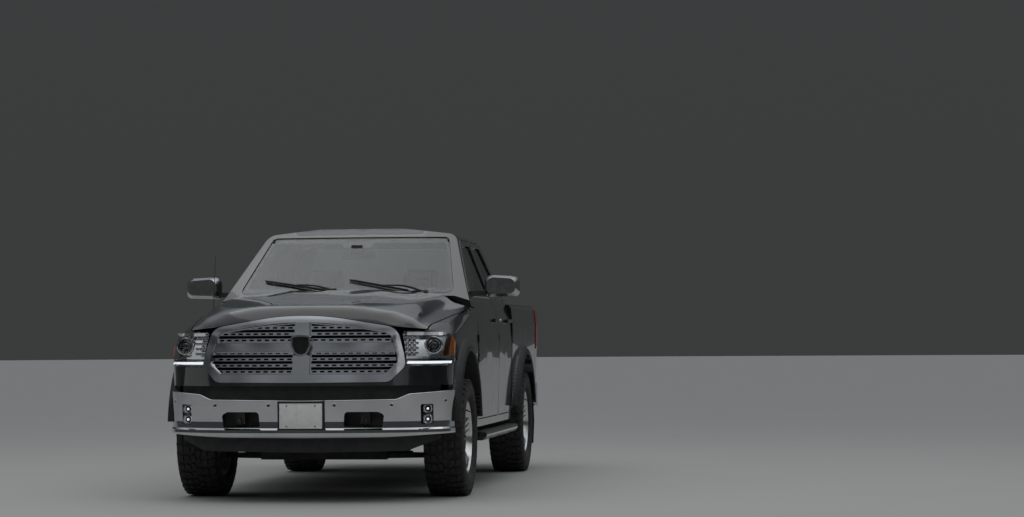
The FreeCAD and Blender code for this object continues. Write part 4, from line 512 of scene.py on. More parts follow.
def copies_tree():
    """Geometry Nodes that lay copies of a block, each turned one step further about the block's own origin."""
    tree = bpy.data.node_groups.new("laid_copies", "GeometryNodeTree")
    sockets = {label: tree.interface.new_socket(label, in_out="INPUT", socket_type="NodeSocket" + kind).identifier
               for label, kind in (("Block", "Object"), ("Count", "Int"), ("Turn", "Vector"), ("Finish", "Material"))}
    tree.interface.new_socket("Geometry", in_out="OUTPUT", socket_type="NodeSocketGeometry")
    given, result, points, index, info, instances, spin, realize, dress = (tree.nodes.new(kind) for kind in (
        "NodeGroupInput", "NodeGroupOutput", "GeometryNodePoints", "GeometryNodeInputIndex", "GeometryNodeObjectInfo",
        "GeometryNodeInstanceOnPoints", "ShaderNodeVectorMath", "GeometryNodeRealizeInstances",
        "GeometryNodeSetMaterial"))
    spin.operation = "SCALE"
    for source, target in (
            (given.outputs["Turn"], spin.inputs[0]), (index.outputs[0], spin.inputs["Scale"]),
            (given.outputs["Count"], points.inputs["Count"]), (given.outputs["Block"], info.inputs["Object"]),
            (points.outputs[0], instances.inputs["Points"]), (info.outputs["Geometry"], instances.inputs["Instance"]),
            (spin.outputs[0], instances.inputs["Rotation"]), (instances.outputs[0], realize.inputs[0]),
            (realize.outputs[0], dress.inputs["Geometry"]), (given.outputs["Finish"], dress.inputs["Material"]),
            (dress.outputs[0], result.inputs[0])):
        tree.links.new(source, target)
    return tree, sockets


COPIES, COPY_SOCKETS = copies_tree()


def laid(block, count, finish):
    """Mesh of count copies of a block mesh in a full ring about X."""
    source = bpy.data.objects.new("block", block)
    host = bpy.data.objects.new("host", bpy.data.meshes.new("host"))
    for each in (source, host):
        bpy.context.scene.collection.objects.link(each)
    modifier = host.modifiers.new("laid", "NODES")
    modifier.node_group = COPIES
    for label, value in (("Block", source), ("Count", count), ("Turn", (math.tau / count, 0, 0)), ("Finish", finish)):
        modifier[COPY_SOCKETS[label]] = value
    graph = bpy.context.evaluated_depsgraph_get()
    graph.update()
    mesh = bpy.data.meshes.new_from_object(host.evaluated_get(graph))
    for each in (host, source):
        bpy.data.objects.remove(each)
    return mesh


def surface_of(*names):
    """A ray tree over CAD nodes, to set pieces on their surface."""
    vertices, faces = [], []
    for name in names:
        mesh = NODES[name].data
        base = len(vertices)
        vertices += [v.co.copy() for v in mesh.vertices]
        faces += [tuple(base + i for i in p.vertices) for p in mesh.polygons]
    return BVHTree.FromPolygons(vertices, faces)


def dressed(node, finishes, choose):
    """Stands for a CAD node with its exact normals and a finish for each face."""
    source = NODES[node].data
    loops = len(source.loops)
    normals = np.empty(loops * 3, np.float32)
    source.corner_normals.foreach_get("vector", normals)
    normals = normals.reshape(-1, 3)
    where = np.empty(loops, np.int32)
    source.loops.foreach_get("vertex_index", where)
    spots = np.empty(len(source.vertices) * 3, np.float32)
    source.vertices.foreach_get("co", spots)
    keys = np.round(spots.reshape(-1, 3) * MATCH_GRID).astype(np.int64)
    merged, inverse = np.unique(keys, axis=0, return_inverse=True)
    inverse = inverse.reshape(-1)
    corners = inverse[where]
    centres = np.zeros((len(merged), 3))
    counts = np.bincount(inverse, minlength=len(merged))[:, None]
    np.add.at(centres, inverse, spots.reshape(-1, 3))
    centres /= counts
    order = np.argsort(corners, kind="stable")
    bounds = np.searchsorted(corners[order], np.arange(len(merged) + 1))
    limit = math.cos(math.radians(SMOOTH_ANGLE))
    smooth = normals.copy()
    for v in range(len(merged)):
        group = order[bounds[v]:bounds[v + 1]]
        if len(group) < 2:
            continue
        these = normals[group]
        near = (these @ these.T) > limit
        blend = near @ these
        smooth[group] = blend / np.maximum(np.linalg.norm(blend, axis=1, keepdims=True), 1e-9)
    totals = np.empty(len(source.polygons), np.int32)
    source.polygons.foreach_get("loop_total", totals)
    faces, kept, at = [], [], 0
    for total in totals:
        face = corners[at:at + total].tolist()
        if len(set(face)) == total:
            faces.append(face)
            kept += range(at, at + total)
        at += total
    mesh = bpy.data.meshes.new(node + "_dressed")
    mesh.from_pydata(centres.tolist(), [], faces)
    for finish in finishes:
        mesh.materials.append(finish)
    if len(finishes) > 1:
        mesh.polygons.foreach_set("material_index", [choose(p.center, p.normal) for p in mesh.polygons])
    mesh.polygons.foreach_set("use_smooth", [True] * len(mesh.polygons))
    mesh.normals_split_custom_set(smooth[kept].tolist())
    return place_piece(mesh, node + "_dressed", NODES[node]["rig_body"], (node,))


def recoat(finish, *names):
    """Gives CAD nodes a better material in their own slots."""
    for name in names:
        mesh = NODES[name].data
        if not mesh.materials:
            mesh.materials.append(finish)
        for i in range(len(mesh.materials)):
            mesh.materials[i] = finish


set_stage()


# Body panels

CAB_MIDDLE = Vector((0, -0.10, 1.15))


def cab_finish(centre, normal):
    if normal.dot(centre - CAB_MIDDLE) > -0.15 * (centre - CAB_MIDDLE).length:
        return 0
    if normal.z < -0.6 and centre.z > 1.6:
        return 2
    if normal.z > 0.6 and centre.z < 0.7:
        return 3
    return 1


def door_finish(centre, normal):
    outer = abs(centre.x)
    if outer > 0.9865 and 1.225 < centre.z < 1.275:
        return 2
    return 1 if normal.x * (1 if centre.x > 0 else -1) < -0.35 else 0


def grille_finish(centre, normal):
    return 1 if abs(centre.x) < 0.062 and 1.0 < centre.z < 1.134 and normal.y < -0.9 and centre.y > -2.8885 else 0


def hood_finish(centre, normal):
    return 1 if normal.z < -0.25 else 0


def on_flare(centre):
    """Whether a place on a fender or bed side is on the flare round its wheel opening."""
    y, z = (AXLE_FRONT, 0.460) if centre.y < 0 else (AXLE_REAR, HUB_HEIGHT)
    return abs(centre.x) > 0.985 and math.hypot(centre.y - y, centre.z - z) < 0.66


def wing_finish(centre, normal):
    return 1 if on_flare(centre) or normal.x * centre.x < -0.25 * abs(centre.x) or normal.z < -0.5 else 0


def bedside_finish(centre, normal):
    if on_flare(centre):
        return 2
    return 1 if normal.x * centre.x < -0.5 * abs(centre.x) and centre.z > 0.8 else 0


def gate_finish(centre, normal):
    return 1 if normal.y < -0.5 else 0


dressed("cab_shell", (PAINT, TRIM, LINING, CARPET), cab_finish)
for end, side, sign in DOORS:
    dressed(f"door_{end}_{side}", (PAINT, TRIM, CHROME), door_finish)
dressed("grille_frame", (CHROME, GLOSS_PLASTIC), grille_finish)
dressed("hood", (PAINT, INNER_PAINT), hood_finish)
dressed("fenders", (PAINT, INNER_PAINT), wing_finish)
dressed("nose_panel", (PAINT,), None)
dressed("bed_sides", (PAINT, COATING, INNER_PAINT), bedside_finish)
dressed("tailgate", (PAINT, COATING), gate_finish)
recoat(PAINT, "bed_posts")
recoat(COATING, "bed_floor")
recoat(GLASS, "cab_glass", "glass_front_left", "glass_front_right")
recoat(DARK_GLASS, "glass_rear_left", "glass_rear_right")
recoat(CHROME, "grille_mesh", "front_bumper", "rear_bumper")
recoat(PLASTIC, "lower_valance", "cowl", "wheel_liners", "plate_holder", "radiator", "fuel_tank")
recoat(CHASSIS, "ladder_frame", "front_arms", "rear_axle", "rear_springs", "hitch_receiver", "knuckle_left",
       "knuckle_right", "front_struts")
recoat(CAST, "engine_block", "drivetrain", "front_differential")
recoat(EXHAUST, "exhaust")
recoat(TRIM, "dashboard")
recoat(RUBBER, "spare_wheel")


def mirror_finish(centre, normal):
    if abs(centre.x) < 1.02:
        return 1
    return 2 if normal.y > 0.7 else 0


def board_finish(centre, normal):
    return 1 if normal.z > 0.5 or abs(centre.x) < 0.90 else 0


for side, sign in SIDES:
    dressed(f"mirror_{side}", (CHROME, PLASTIC, MIRROR), mirror_finish)
dressed("running_boards", (ALLOY, PLASTIC), board_finish)


def rim_finish(centre, normal):
    outboard = abs(centre.x) - HALF_TRACK
    radius = math.hypot(centre.z - HUB_HEIGHT, centre.y - (AXLE_FRONT if centre.y < 0 else AXLE_REAR))
    if outboard < -0.011 and radius < 0.175:
        return 2
    facing = normal.x * (1 if centre.x > 0 else -1)
    if facing > 0.45 and outboard > 0.03:
        return 0
    return 1 if outboard < 0.075 else 0


for end, side, sign, y in WHEELS:
    dressed(f"rim_{end}_{side}", (ALLOY, POCKET, BRAKE), rim_finish)


# Tyres: a turned carcass and rings of tread blocks

TREAD_PITCHES = 38
TREAD_RADIUS = 0.4146
TREAD_FOOT, SHOULDER_FOOT = 0.4035, 0.395
TREAD_SPREAD = 1.06  # how much wider a block's foot is than its top
CARCASS = [(-0.106, 0.2560), (0.106, 0.2560), (0.108, 0.2760), (0.123, 0.2800), (0.1325, 0.2880), (0.1385, 0.2960),
           (0.1378, 0.3000), (0.1412, 0.3060), (0.1440, 0.3200), (0.1436, 0.3260), (0.1450, 0.3270), (0.1450, 0.3360),
           (0.1436, 0.3370), (0.1430, 0.3560), (0.1400, 0.3720), (0.1345, 0.3860), (0.1230, 0.3960), (0.1100, 0.4010),
           (0.0600, 0.4030), (0.0, 0.4035)]


def tread_height(x):
    return TREAD_RADIUS - 0.35 * max(abs(x) - 0.085, 0) ** 1.35 - 0.05 * x * x


def tread_block(corners, foot):
    """One block of tread at the top of the wheel; corners are (x, arc) in order, arc along the tyre's outside."""
    former = Former(RUBBER)
    tops, feet = [], []
    for x, arc in corners:
        angle = arc / TREAD_RADIUS
        radius = tread_height(x)
        tops.append((x, -math.sin(angle) * radius, math.cos(angle) * radius))
        low = min(foot, radius - 0.008)
        feet.append((x * 1.01, -math.sin(angle * TREAD_SPREAD) * low, math.cos(angle * TREAD_SPREAD) * low))
    n = len(corners)
    faces = [tuple(range(n))] + [(i, n + i, n + (i + 1) % n, (i + 1) % n) for i in range(n)]
    former.add(tops + feet, faces)
    return former.mesh("block", 20, 0)


def tread():
    pitch = math.tau * TREAD_RADIUS / TREAD_PITCHES
    rows = [
        [(0.004, -0.30), (0.030, -0.42), (0.036, 0.02), (0.022, 0.34), (0.002, 0.26)],
        [(-0.004, 0.20), (-0.030, 0.08), (-0.036, 0.52), (-0.022, 0.84), (-0.002, 0.76)],
        [(0.044, -0.20), (0.078, -0.34), (0.084, 0.16), (0.072, 0.40), (0.042, 0.30)],
        [(-0.044, 0.30), (-0.078, 0.16), (-0.084, 0.66), (-0.072, 0.90), (-0.042, 0.80)],
        [(0.090, -0.30), (0.118, -0.36), (0.1330, -0.36), (0.1330, 0.22), (0.118, 0.30), (0.088, 0.28)],
        [(-0.090, 0.20), (-0.118, 0.14), (-0.1330, 0.14), (-0.1330, 0.72), (-0.118, 0.80), (-0.088, 0.78)],
    ]
    meshes = []
    for row in rows:
        foot = SHOULDER_FOOT if abs(row[1][0]) > 0.1 else TREAD_FOOT
        block = tread_block([(x, share * pitch) for x, share in row], foot)
        meshes.append(laid(block, TREAD_PITCHES, RUBBER))
    lug = Former(RUBBER)
    for sign in SIGNS:
        lug.prism([(sign * 0.1340, -0.016, 0.389), (sign * 0.1340, 0.010, 0.389), (sign * 0.1375, 0.006, 0.366),
                   (sign * 0.1375, -0.012, 0.366)], (sign * 0.0045, 0, 0.0012), bevel=0.001)
    return meshes + [laid(lug.mesh("lug", 20, WELD), TREAD_PITCHES, RUBBER)]


TREAD_MESHES = tread()


def tyre(end, side, sign, y):
    former = Former(RUBBER)
    profile = CARCASS + [(-x, r) for x, r in reversed(CARCASS[2:-1])]
    former.lathe(profile, (0, 0, 0), (1, 0, 0), 120)
    for mesh in TREAD_MESHES:
        former.work.from_mesh(mesh)
    for vertex in former.work.verts:
        vertex.co += Vector((sign * HALF_TRACK, y, HUB_HEIGHT))
    former.done(f"treaded_tyre_{end}_{side}", "tyre", f"wheel_{end}_{side}", (f"tyre_{end}_{side}",), 28)


for wheel in WHEELS:
    tyre(*wheel)


# Pieces on surfaces

FRONT_Y, SCREEN_Y, DASH_Y, REAR_Y = -4.0, -3.2, -0.656, 5.0  # where rays start
SIDE_X, CABIN_X, ABOVE_Z, BELOW_Z = 3.0, 0.3, 2.0, -1.0


def hit(tree, origin, way):
    """The first place that a ray meets, and its normal."""
    return tree.ray_cast(Vector(origin), Vector(way).normalized())[:2]


def from_front(tree, x, z):
    return hit(tree, (x, FRONT_Y, z), AHEAD)


def from_behind(tree, x, z):
    return hit(tree, (x, REAR_Y, z), BACK)


def patch(former, tree, way, rows, lift, depth, finish=0):
    """Thin plate on a surface: rows of ray starts cast along way; it stands lift proud and is depth thick."""
    way = Vector(way).normalized()
    starts = [Vector(start) for row in rows for start in row]
    runs = [tree.ray_cast(start, way)[3] for start in starts]
    known = next(run for run in runs if run is not None)
    fronts = []
    for start, run in zip(starts, runs):
        known = known if run is None else run
        fronts.append(start + way * (known - lift))
    n, m = len(rows[0]), len(rows)
    vertices = fronts + [p + way * depth for p in fronts]
    total = n * m
    faces = []
    for r in range(m - 1):
        for c in range(n - 1):
            a, b, d, e = r * n + c, r * n + c + 1, (r + 1) * n + c, (r + 1) * n + c + 1
            faces += [(a, b, e, d), (total + a, total + d, total + e, total + b)]
    ring = [c for c in range(n)] + [r * n + n - 1 for r in range(1, m)]
    ring += [(m - 1) * n + c for c in range(n - 2, -1, -1)] + [r * n for r in range(m - 2, 0, -1)]
    faces += [(a, total + a, total + b, b) for a, b in zip(ring, ring[1:] + ring[:1])]
    former.add(vertices, faces, finish)


def patches(former, tree, way, *plates):
    """Plates on one surface, each given as its rows, how proud it stands, its depth and its finish."""
    for plate in plates:
        patch(former, tree, way, *plate)


def spread(place, start, stop, low, high, columns, rows=2):
    """Rows of ray starts, each from place(across, height); low and high may be functions of across."""
    def level(bound, at):
        return bound(at) if callable(bound) else bound

    return [[place(at, level(low, at) + (level(high, at) - level(low, at)) * share)
             for at in np.linspace(start, stop, columns)] for share in np.linspace(0, 1, rows)]


def grid(*limits, y=FRONT_Y):
    return spread(lambda x, z: (x, y, z), *limits)


def side_rows(x, *limits):
    return spread(lambda y, z: (x, y, z), *limits)


def back_rows(*limits):
    return grid(*limits, y=REAR_Y)


# Headlamps: lens, bowl, projector, reflector rows, light strips and corner reflector

LAMP_TREE = surface_of("headlamps")
LENS_THICKNESS = 0.003


def lens_faces(work, sign):
    return [f for f in work.faces if f.calc_center_median().x * sign > 0
            and (f.normal.y < -0.15 or (f.normal.x * sign > 0.6 and f.calc_center_median().x * sign > 0.93))]


def lamp_shell(sign, finish, shift=None):
    """The lamp's front skin: a thin lens, or with a shift the bowl behind it."""
    former = Former(finish)
    work = former.work
    work.from_mesh(NODES["headlamps"].data)
    bmesh.ops.remove_doubles(work, verts=work.verts, dist=2e-5)
    work.normal_update()
    kept = set(lens_faces(work, sign))
    bmesh.ops.delete(work, geom=[f for f in work.faces if f not in kept], context="FACES")
    if shift is None:
        bmesh.ops.solidify(work, geom=work.faces[:], thickness=LENS_THICKNESS)
        return former
    middle = Vector((0.84 * sign, 0, 1.05))
    for vertex in work.verts:
        vertex.co.x = middle.x + (vertex.co.x - middle.x) * 0.985
        vertex.co.z = middle.z + (vertex.co.z - middle.z) * 0.975
        vertex.co.y += 0.005
    old = work.faces[:]
    result = bmesh.ops.extrude_face_region(work, geom=old)
    for element in result["geom"]:
        if isinstance(element, bmesh.types.BMVert):
            element.co += Vector((-sign * 0.012, shift, 0))
            element.co.z = middle.z + (element.co.z - middle.z) * 0.9
            element.co.y = max(element.co.y, -2.74)
    bmesh.ops.delete(work, geom=[f for f in old if f.is_valid], context="FACES")
    return former


def headlamp(side, sign):
    lamp_shell(sign, LENS).done(f"headlamp_lens_{side}", "lamp", replaced=("headlamps",), merge=WELD)
    lamp_shell(sign, CHROME, 0.052).done(f"headlamp_bowl_{side}", "chrome")
    former = Former(CHROME, GLOSS_PLASTIC, BLACK_GLASS, LAMP_WHITE, AMBER_LENS, LENS)
    x, z = sign * 0.868, 1.068
    centre = (x, from_front(LAMP_TREE, x, z)[0].y + 0.012, z)
    former.lathe([(0, 0.060), (-0.004, 0.058), (-0.005, 0.052), (0.002, 0.047), (0.022, 0.043), (0.030, 0.045),
                  (0.030, 0.060)], centre, AHEAD, 56, 0)
    former.lathe([(0.004, 0.0455), (0.006, 0.0425), (0.020, 0.040), (0.020, 0.045)], centre, AHEAD, 48, 1)
    former.lathe([(0.002, 0), (0.004, 0.014), (0.010, 0.026), (0.018, 0.034), (0.022, 0.036), (0.030, 0.036),
                  (0.030, 0)], centre, AHEAD, 40, 2)
    for row in range(4):
        for column in range(3):
            x, z = sign * (0.700 + column * 0.031), 1.015 + row * 0.034
            point, _ = from_front(LAMP_TREE, x, z)
            if point is None:
                continue
            former.slab((x - 0.012, point.y + 0.016, z - 0.010), (x + 0.012, point.y + 0.040, z + 0.010), 0.004, 0)
            former.slab((x - 0.009, point.y + 0.014, z - 0.004), (x + 0.009, point.y + 0.020, z + 0.004), 0.0015, 1)
    inner, outer = sign * 0.690, sign * 0.975
    patches(former, LAMP_TREE, AHEAD,
            (grid(inner, outer, 0.944, 0.960, 28), -0.007, 0.008, 3),
            (grid(inner, outer, 0.966, 0.974, 28), -0.008, 0.010, 1),
            (grid(inner, outer, 0.980, 0.992, 28), -0.006, 0.012, 0),
            (grid(sign * 0.700, sign * 0.95, 1.136, 1.158, 24), -0.007, 0.014, 0),
            (grid(sign * 0.962, sign * 0.990, 1.000, lambda v: 1.140 - (abs(v) - 0.962) * 1.9, 10, 9),
             -0.006, 0.006, 4))
    former.done(f"headlamp_parts_{side}", "lamp", crease=35, merge=WELD)


for side, sign in SIDES:
    headlamp(side, sign)


# Bumper fittings: fog lamps, parking sensors, tow hooks, plate

BUMPER_TREE = surface_of("front_bumper")
FOG_TREE = surface_of("fog_lamps")
SENSOR_FACE = [(-0.004, 0.0), (0.002, 0.0), (0.0025, 0.0085), (0.0005, 0.0095), (-0.004, 0.0095)]
SENSOR_RING = [(-0.003, 0.0100), (0.0012, 0.0102), (0.0024, 0.0125), (0.0012, 0.0148), (-0.003, 0.0150)]


def parking_sensor(former, point, normal, ring_finish):
    former.lathe(SENSOR_FACE, point, normal, 24, 0)
    former.lathe(SENSOR_RING, point, normal, 32, ring_finish)


def fog_lamp(side, sign):
    former = Former(CHROME, LENS, GLOSS_PLASTIC, LAMP_WHITE)
    x = sign * 0.834
    y = from_front(FOG_TREE, x, 0.60)[0].y
    former.slab((x - 0.037, y + 0.012, 0.535), (x + 0.037, y + 0.040, 0.669), 0.004, 2)
    for z in (0.637, 0.566):
        former.lathe([(0.012, 0.0335), (0.000, 0.0335), (-0.003, 0.031), (0.000, 0.028), (0.012, 0.020),
                      (0.016, 0.0)], (x, y, z), AHEAD, 40, 0)
        former.lathe([(-0.001, 0.0), (0.001, 0.018), (0.005, 0.027), (0.007, 0.027), (0.004, 0.0)],
                     (x, y, z), AHEAD, 36, 1)
        former.lathe([(0.004, 0.0), (0.006, 0.008), (0.012, 0.008), (0.012, 0.0)], (x, y + 0.002, z), AHEAD, 16, 3)
    former.done(f"fog_lamp_{side}", "lamp", replaced=("fog_lamps",))


for side, sign in SIDES:
    fog_lamp(side, sign)

former = Former(PLASTIC, CHROME)
for x, z in ((0.227, 0.664), (0.610, 0.664), (0.945, 0.690)):
    for sign in SIGNS:
        point, normal = from_front(BUMPER_TREE, x * sign, z)
        if point is not None:
            parking_sensor(former, point, normal, 1)
former.done("parking_sensors", "black_plastic")


def bumper_edge(x):
    """Height of the bumper's upper edge."""
    return float(np.interp(abs(x), (0, 0.636, 0.655, 0.724, 0.745, 1.03), (0.697, 0.705, 0.709, 0.741, 0.743, 0.763)))


former = Former(CHROME)
places = [from_front(BUMPER_TREE, x, bumper_edge(x) - 0.006)[0] for x in np.linspace(-0.985, 0.985, 121)]
spots = [point + Vector((0, 0.002, 0.001)) for point in places if point is not None]
former.tube(spots, [0.002] + [0.0045] * (len(spots) - 2) + [0.002])
former.done("bumper_bead", "chrome", crease=40)

former = Former(PLASTIC, CAST)
for sign in SIGNS:
    path = [(0.430, -2.62, 0.575), (0.430, -2.76, 0.575), (0.436, -2.812, 0.578), (0.436, -2.836, 0.560),
            (0.430, -2.832, 0.545), (0.428, -2.80, 0.540), (0.428, -2.775, 0.545)]
    former.tube([(sign * x, y, z) for x, y, z in path], 0.0125, 0, 12, 2)
    x = sign * 0.43
    former.slab((x - 0.03, -2.72, 0.545), (x + 0.03, -2.70, 0.605), 0.005, 0)
    for z in (0.555, 0.595):
        former.lathe([(-0.006, 0), (-0.006, 0.009), (0, 0.011), (0, 0)], (x - 0.02, -2.72, z), AHEAD, 6, 1)
former.done("tow_hooks", "chassis", crease=35)


def number_plate():
    former = Former(ENAMEL, PLASTIC, CAST)
    y = -2.8985
    former.slab((-0.157, y, 0.500), (0.157, y + 0.014, 0.686), 0.006, 1, 3)
    former.slab((-0.147, y - 0.004, 0.508), (0.147, y + 0.002, 0.678), 0.0015, 0)
    points = [(x, y - 0.0042, z) for x, z in ((-0.143, 0.512), (0.143, 0.512), (0.143, 0.674), (-0.143, 0.674))]
    for pair in zip(points, points[1:] + points[:1]):
        former.tube(pair, 0.0011, 0, 6)
    for x in (-0.098, 0.098):
        for z in (0.524, 0.662):
            former.lathe([(-0.0075, 0), (-0.007, 0.004), (-0.0045, 0.0062), (-0.0035, 0.0062), (-0.0035, 0)],
                         (x, y, z), AHEAD, 18, 2)
    former.done("blank_plate", "black_plastic")


number_plate()


# Wipers, mirror behind the windscreen, its dark borders, antenna

GLASS_TREE = surface_of("cab_glass")
GLASS_FOOT, GLASS_HEAD = 1.455, 1.80


def on_screen(x, z, lift=0.0):
    """Point on the windscreen's outside at a height, and its normal."""
    point, normal = hit(GLASS_TREE, (x, SCREEN_Y, z), AHEAD)
    if normal.y > 0:
        normal = -normal
    return point + normal * lift, normal


def wiper(base, tip, name):
    former = Former(PLASTIC, RUBBER)
    (bx, bz), (tx, tz) = base, tip
    foot, _ = on_screen(bx, max(bz, 1.47), 0.020)
    foot.z = bz
    end, normal = on_screen(tx, tz, 0.018)
    middle, _ = on_screen((bx + tx) / 2, (max(bz, 1.47) + tz) / 2, 0.030)
    former.lathe([(-0.02, 0.0), (-0.02, 0.016), (0.012, 0.018), (0.018, 0.012), (0.018, 0)], foot, normal, 20, 0)
    former.tube([foot, middle, end], [0.009, 0.007, 0.005], 0, 8, 2)
    span = (end - foot).normalized() * 0.92
    blade, rubber = [], []
    for share in np.linspace(-0.30, 0.30, 13):
        x, z = tx + span.x * share, tz + span.z * share
        if GLASS_FOOT < z < GLASS_HEAD:
            spot, out = on_screen(x, z, 0.013)
            blade.append(spot)
            rubber.append(spot - out * 0.009)
    if len(blade) > 3:
        former.tube(blade, [0.004] + [0.0065] * (len(blade) - 2) + [0.004], 0, 8)
        former.tube(rubber, 0.003, 1, 6)
    former.done(name, "black_plastic", crease=35)


wiper((0.60, 1.452), (0.30, 1.492), "wiper_left")
wiper((-0.06, 1.470), (-0.36, 1.500), "wiper_right")


def screen_border():
    """Black printed band behind the windscreen's edges."""
    former = Former(GLOSS_PLASTIC)
    bands = [grid(-0.655, 0.655, lambda x: 1.838 if abs(x) > 0.12 else 1.80, 1.880, 41, 3, y=SCREEN_Y),
             grid(-0.76, 0.76, 1.456, 1.486, 41, 3, y=SCREEN_Y)]
    for sign in SIGNS:
        bands.append([[(sign * (0.806 - (z - 1.446) * 0.285 - inset), SCREEN_Y, z) for inset in (0.006, 0.020, 0.034)]
                      for z in np.linspace(1.458, 1.878, 14)])
    for band in bands:
        patch(former, GLASS_TREE, AHEAD, band, -0.017, 0.001)
    former.done("windscreen_border", "glass")


screen_border()


def cabin_mirror():
    former = Former(PLASTIC, MIRROR)
    point, normal = on_screen(0.0, 1.80)
    inside = point - normal * 0.012
    former.slab((-0.045, inside.y + 0.004, 1.745), (0.045, inside.y + 0.055, 1.825), 0.012, 0)
    former.tube([inside + Vector((0, 0.03, -0.02)), inside + Vector((0, 0.075, -0.035))], 0.009)
    centre = inside + Vector((0, 0.095, -0.045))
    former.slab(centre - Vector((0.125, 0.014, 0.034)), centre + Vector((0.125, 0.010, 0.034)), 0.012, 0, 3)
    former.slab(centre + Vector((-0.118, 0.009, -0.028)), centre + Vector((0.118, 0.0125, 0.028)), 0.001, 1)
    former.done("cabin_mirror", "black_plastic", crease=35)


cabin_mirror()

former = Former(PLASTIC, PAINT)
foot, _ = hit(surface_of("fenders"), (-0.944, -1.42, 3.0), DOWN)
former.lathe([(-0.004, 0), (-0.004, 0.020), (0.004, 0.019), (0.014, 0.010), (0.020, 0.006), (0.020, 0)],
             foot, UP, 28, 0)
former.tube([foot + Vector((0, 0, 0.012)), foot + Vector((0, 0.03, 0.22)), foot + Vector((0, 0.075, 0.41))],
            [0.0032, 0.0024, 0.0018], 0, 8, 1)
former.lathe([(0, 0), (0.002, 0.0028), (0.006, 0.0028), (0.008, 0)],
             foot + Vector((0, 0.075, 0.408)), (0, 0.1, 1), 12, 0)
former.done("antenna", "black_plastic", crease=35)


# Wheels: lug nuts, centre caps, valves, brake calipers

def arc_outline(x, inner, outer, start, stop, centre, steps=10):
    """Ring sector in a plane across x; angles in degrees from straight up towards the rear."""
    points = []
    for radius, angles in ((outer, np.linspace(start, stop, steps)), (inner, np.linspace(stop, start, steps))):
        for angle in np.radians(angles):
            points.append((x, centre[0] + math.sin(angle) * radius, centre[1] + math.cos(angle) * radius))
    return points


def around(x, y, angle, radius):
    """Point of a wheel's plane at x, an angle from straight up towards the rear."""
    return Vector((x, y + math.sin(angle) * radius, HUB_HEIGHT + math.cos(angle) * radius))


def wheel_fittings(end, side, sign, y):
    face = sign * HALF_TRACK
    out = Vector((sign, 0, 0))
    former = Former(CHROME, ALLOY, PLASTIC, RUBBER)
    for k in range(5):
        nut = around(face + sign * 0.064, y, math.radians(36 + 72 * k), 0.060)
        former.lathe([(-0.004, 0), (-0.004, 0.0150), (0.004, 0.0152), (0.006, 0.0125), (0.006, 0)], nut, out, 24, 2)
        former.lathe([(0.002, 0), (0.002, 0.0115), (0.020, 0.0115), (0.020, 0)], nut, out, 6, 0)
        former.lathe([(0.018, 0), (0.018, 0.0100), (0.026, 0.0085), (0.031, 0.0050), (0.033, 0.0)], nut, out, 18, 0)
    hub = Vector((face + sign * 0.076, y, HUB_HEIGHT))
    former.lathe([(-0.004, 0), (-0.004, 0.037), (0.004, 0.038), (0.009, 0.036), (0.011, 0.031), (0.0125, 0.018),
                  (0.013, 0.0)], hub, out, 48, 1)
    former.lathe([(0.0095, 0.0245), (0.0128, 0.0245), (0.0134, 0.0235), (0.0128, 0.0225), (0.0095, 0.0225)],
                 hub, out, 48, 2)
    valve = around(face + sign * 0.085, y, 0.62, 0.232)
    former.tube([valve, valve + Vector((sign * 0.026, -0.006, -0.010)), valve + Vector((sign * 0.038, -0.010, -0.016))],
                [0.0055, 0.0040, 0.0042], 3, 10, 1)
    for k in range(5):
        angle = math.radians(72 * k)
        across = Vector((0, math.cos(angle), -math.sin(angle)))
        for shift in (-0.016, 0.016):
            spots = [around(face + sign * (0.082 + (radius - 0.105) * 0.155), y, angle, radius)
                     + across * shift * (1.0 + (radius - 0.105) * 4.0) for radius in (0.105, 0.150, 0.195, 0.222)]
            former.tube(spots, [0.003, 0.005, 0.006, 0.004], 0, 8, 2)
    former.done(f"wheel_fittings_{end}_{side}", "rim", f"wheel_{end}_{side}")

    body, way = (f"knuckle_{side}", 1) if end == "front" else ("root", -1)
    former = Former(CAST, CHASSIS)
    start, stop = (62, 118) if way > 0 else (-118, -62)
    for inset, inner, outer, trim, depth, bevel, finish in (
            (0.030, 0.104, 0.182, 0, 0.026, 0.005, 0), (0.092, 0.104, 0.182, 5 * way, 0.030, 0.005, 0),
            (0.080, 0.171, 0.186, 8, 0.070, 0.003, 0), (0.098, 0.060, 0.128, 14, 0.012, 0.003, 1)):
        outline = arc_outline(face - sign * inset, inner, outer, start + trim, stop - trim, (y, HUB_HEIGHT))
        former.prism(outline, (sign * depth, 0, 0), finish, bevel)
    for turn in (78, 102):
        spot = around(face - sign * 0.094, y, math.radians(turn * way), 0.140)
        former.lathe([(0.004, 0), (0.004, 0.021), (-0.010, 0.020), (-0.013, 0.016), (-0.013, 0)], spot, out, 28, 0)
    former.done(f"brake_caliper_{end}_{side}", "steel", body)


for wheel in WHEELS:
    wheel_fittings(*wheel)


# Springs: front coils and the rear springs' clamps

COIL_STEPS = 20


def coil(former, foot, head, radius, wire, turns):
    foot, head = Vector(foot), Vector(head)
    way = (head - foot).normalized()
    side = way.orthogonal().normalized()
    other = way.cross(side)
    steps = int(turns * COIL_STEPS)
    angles = [math.tau * turns * i / steps for i in range(steps + 1)]
    former.tube([foot.lerp(head, i / steps) + (side * math.cos(a) + other * math.sin(a)) * radius
                 for i, a in enumerate(angles)], wire, 0, 8)


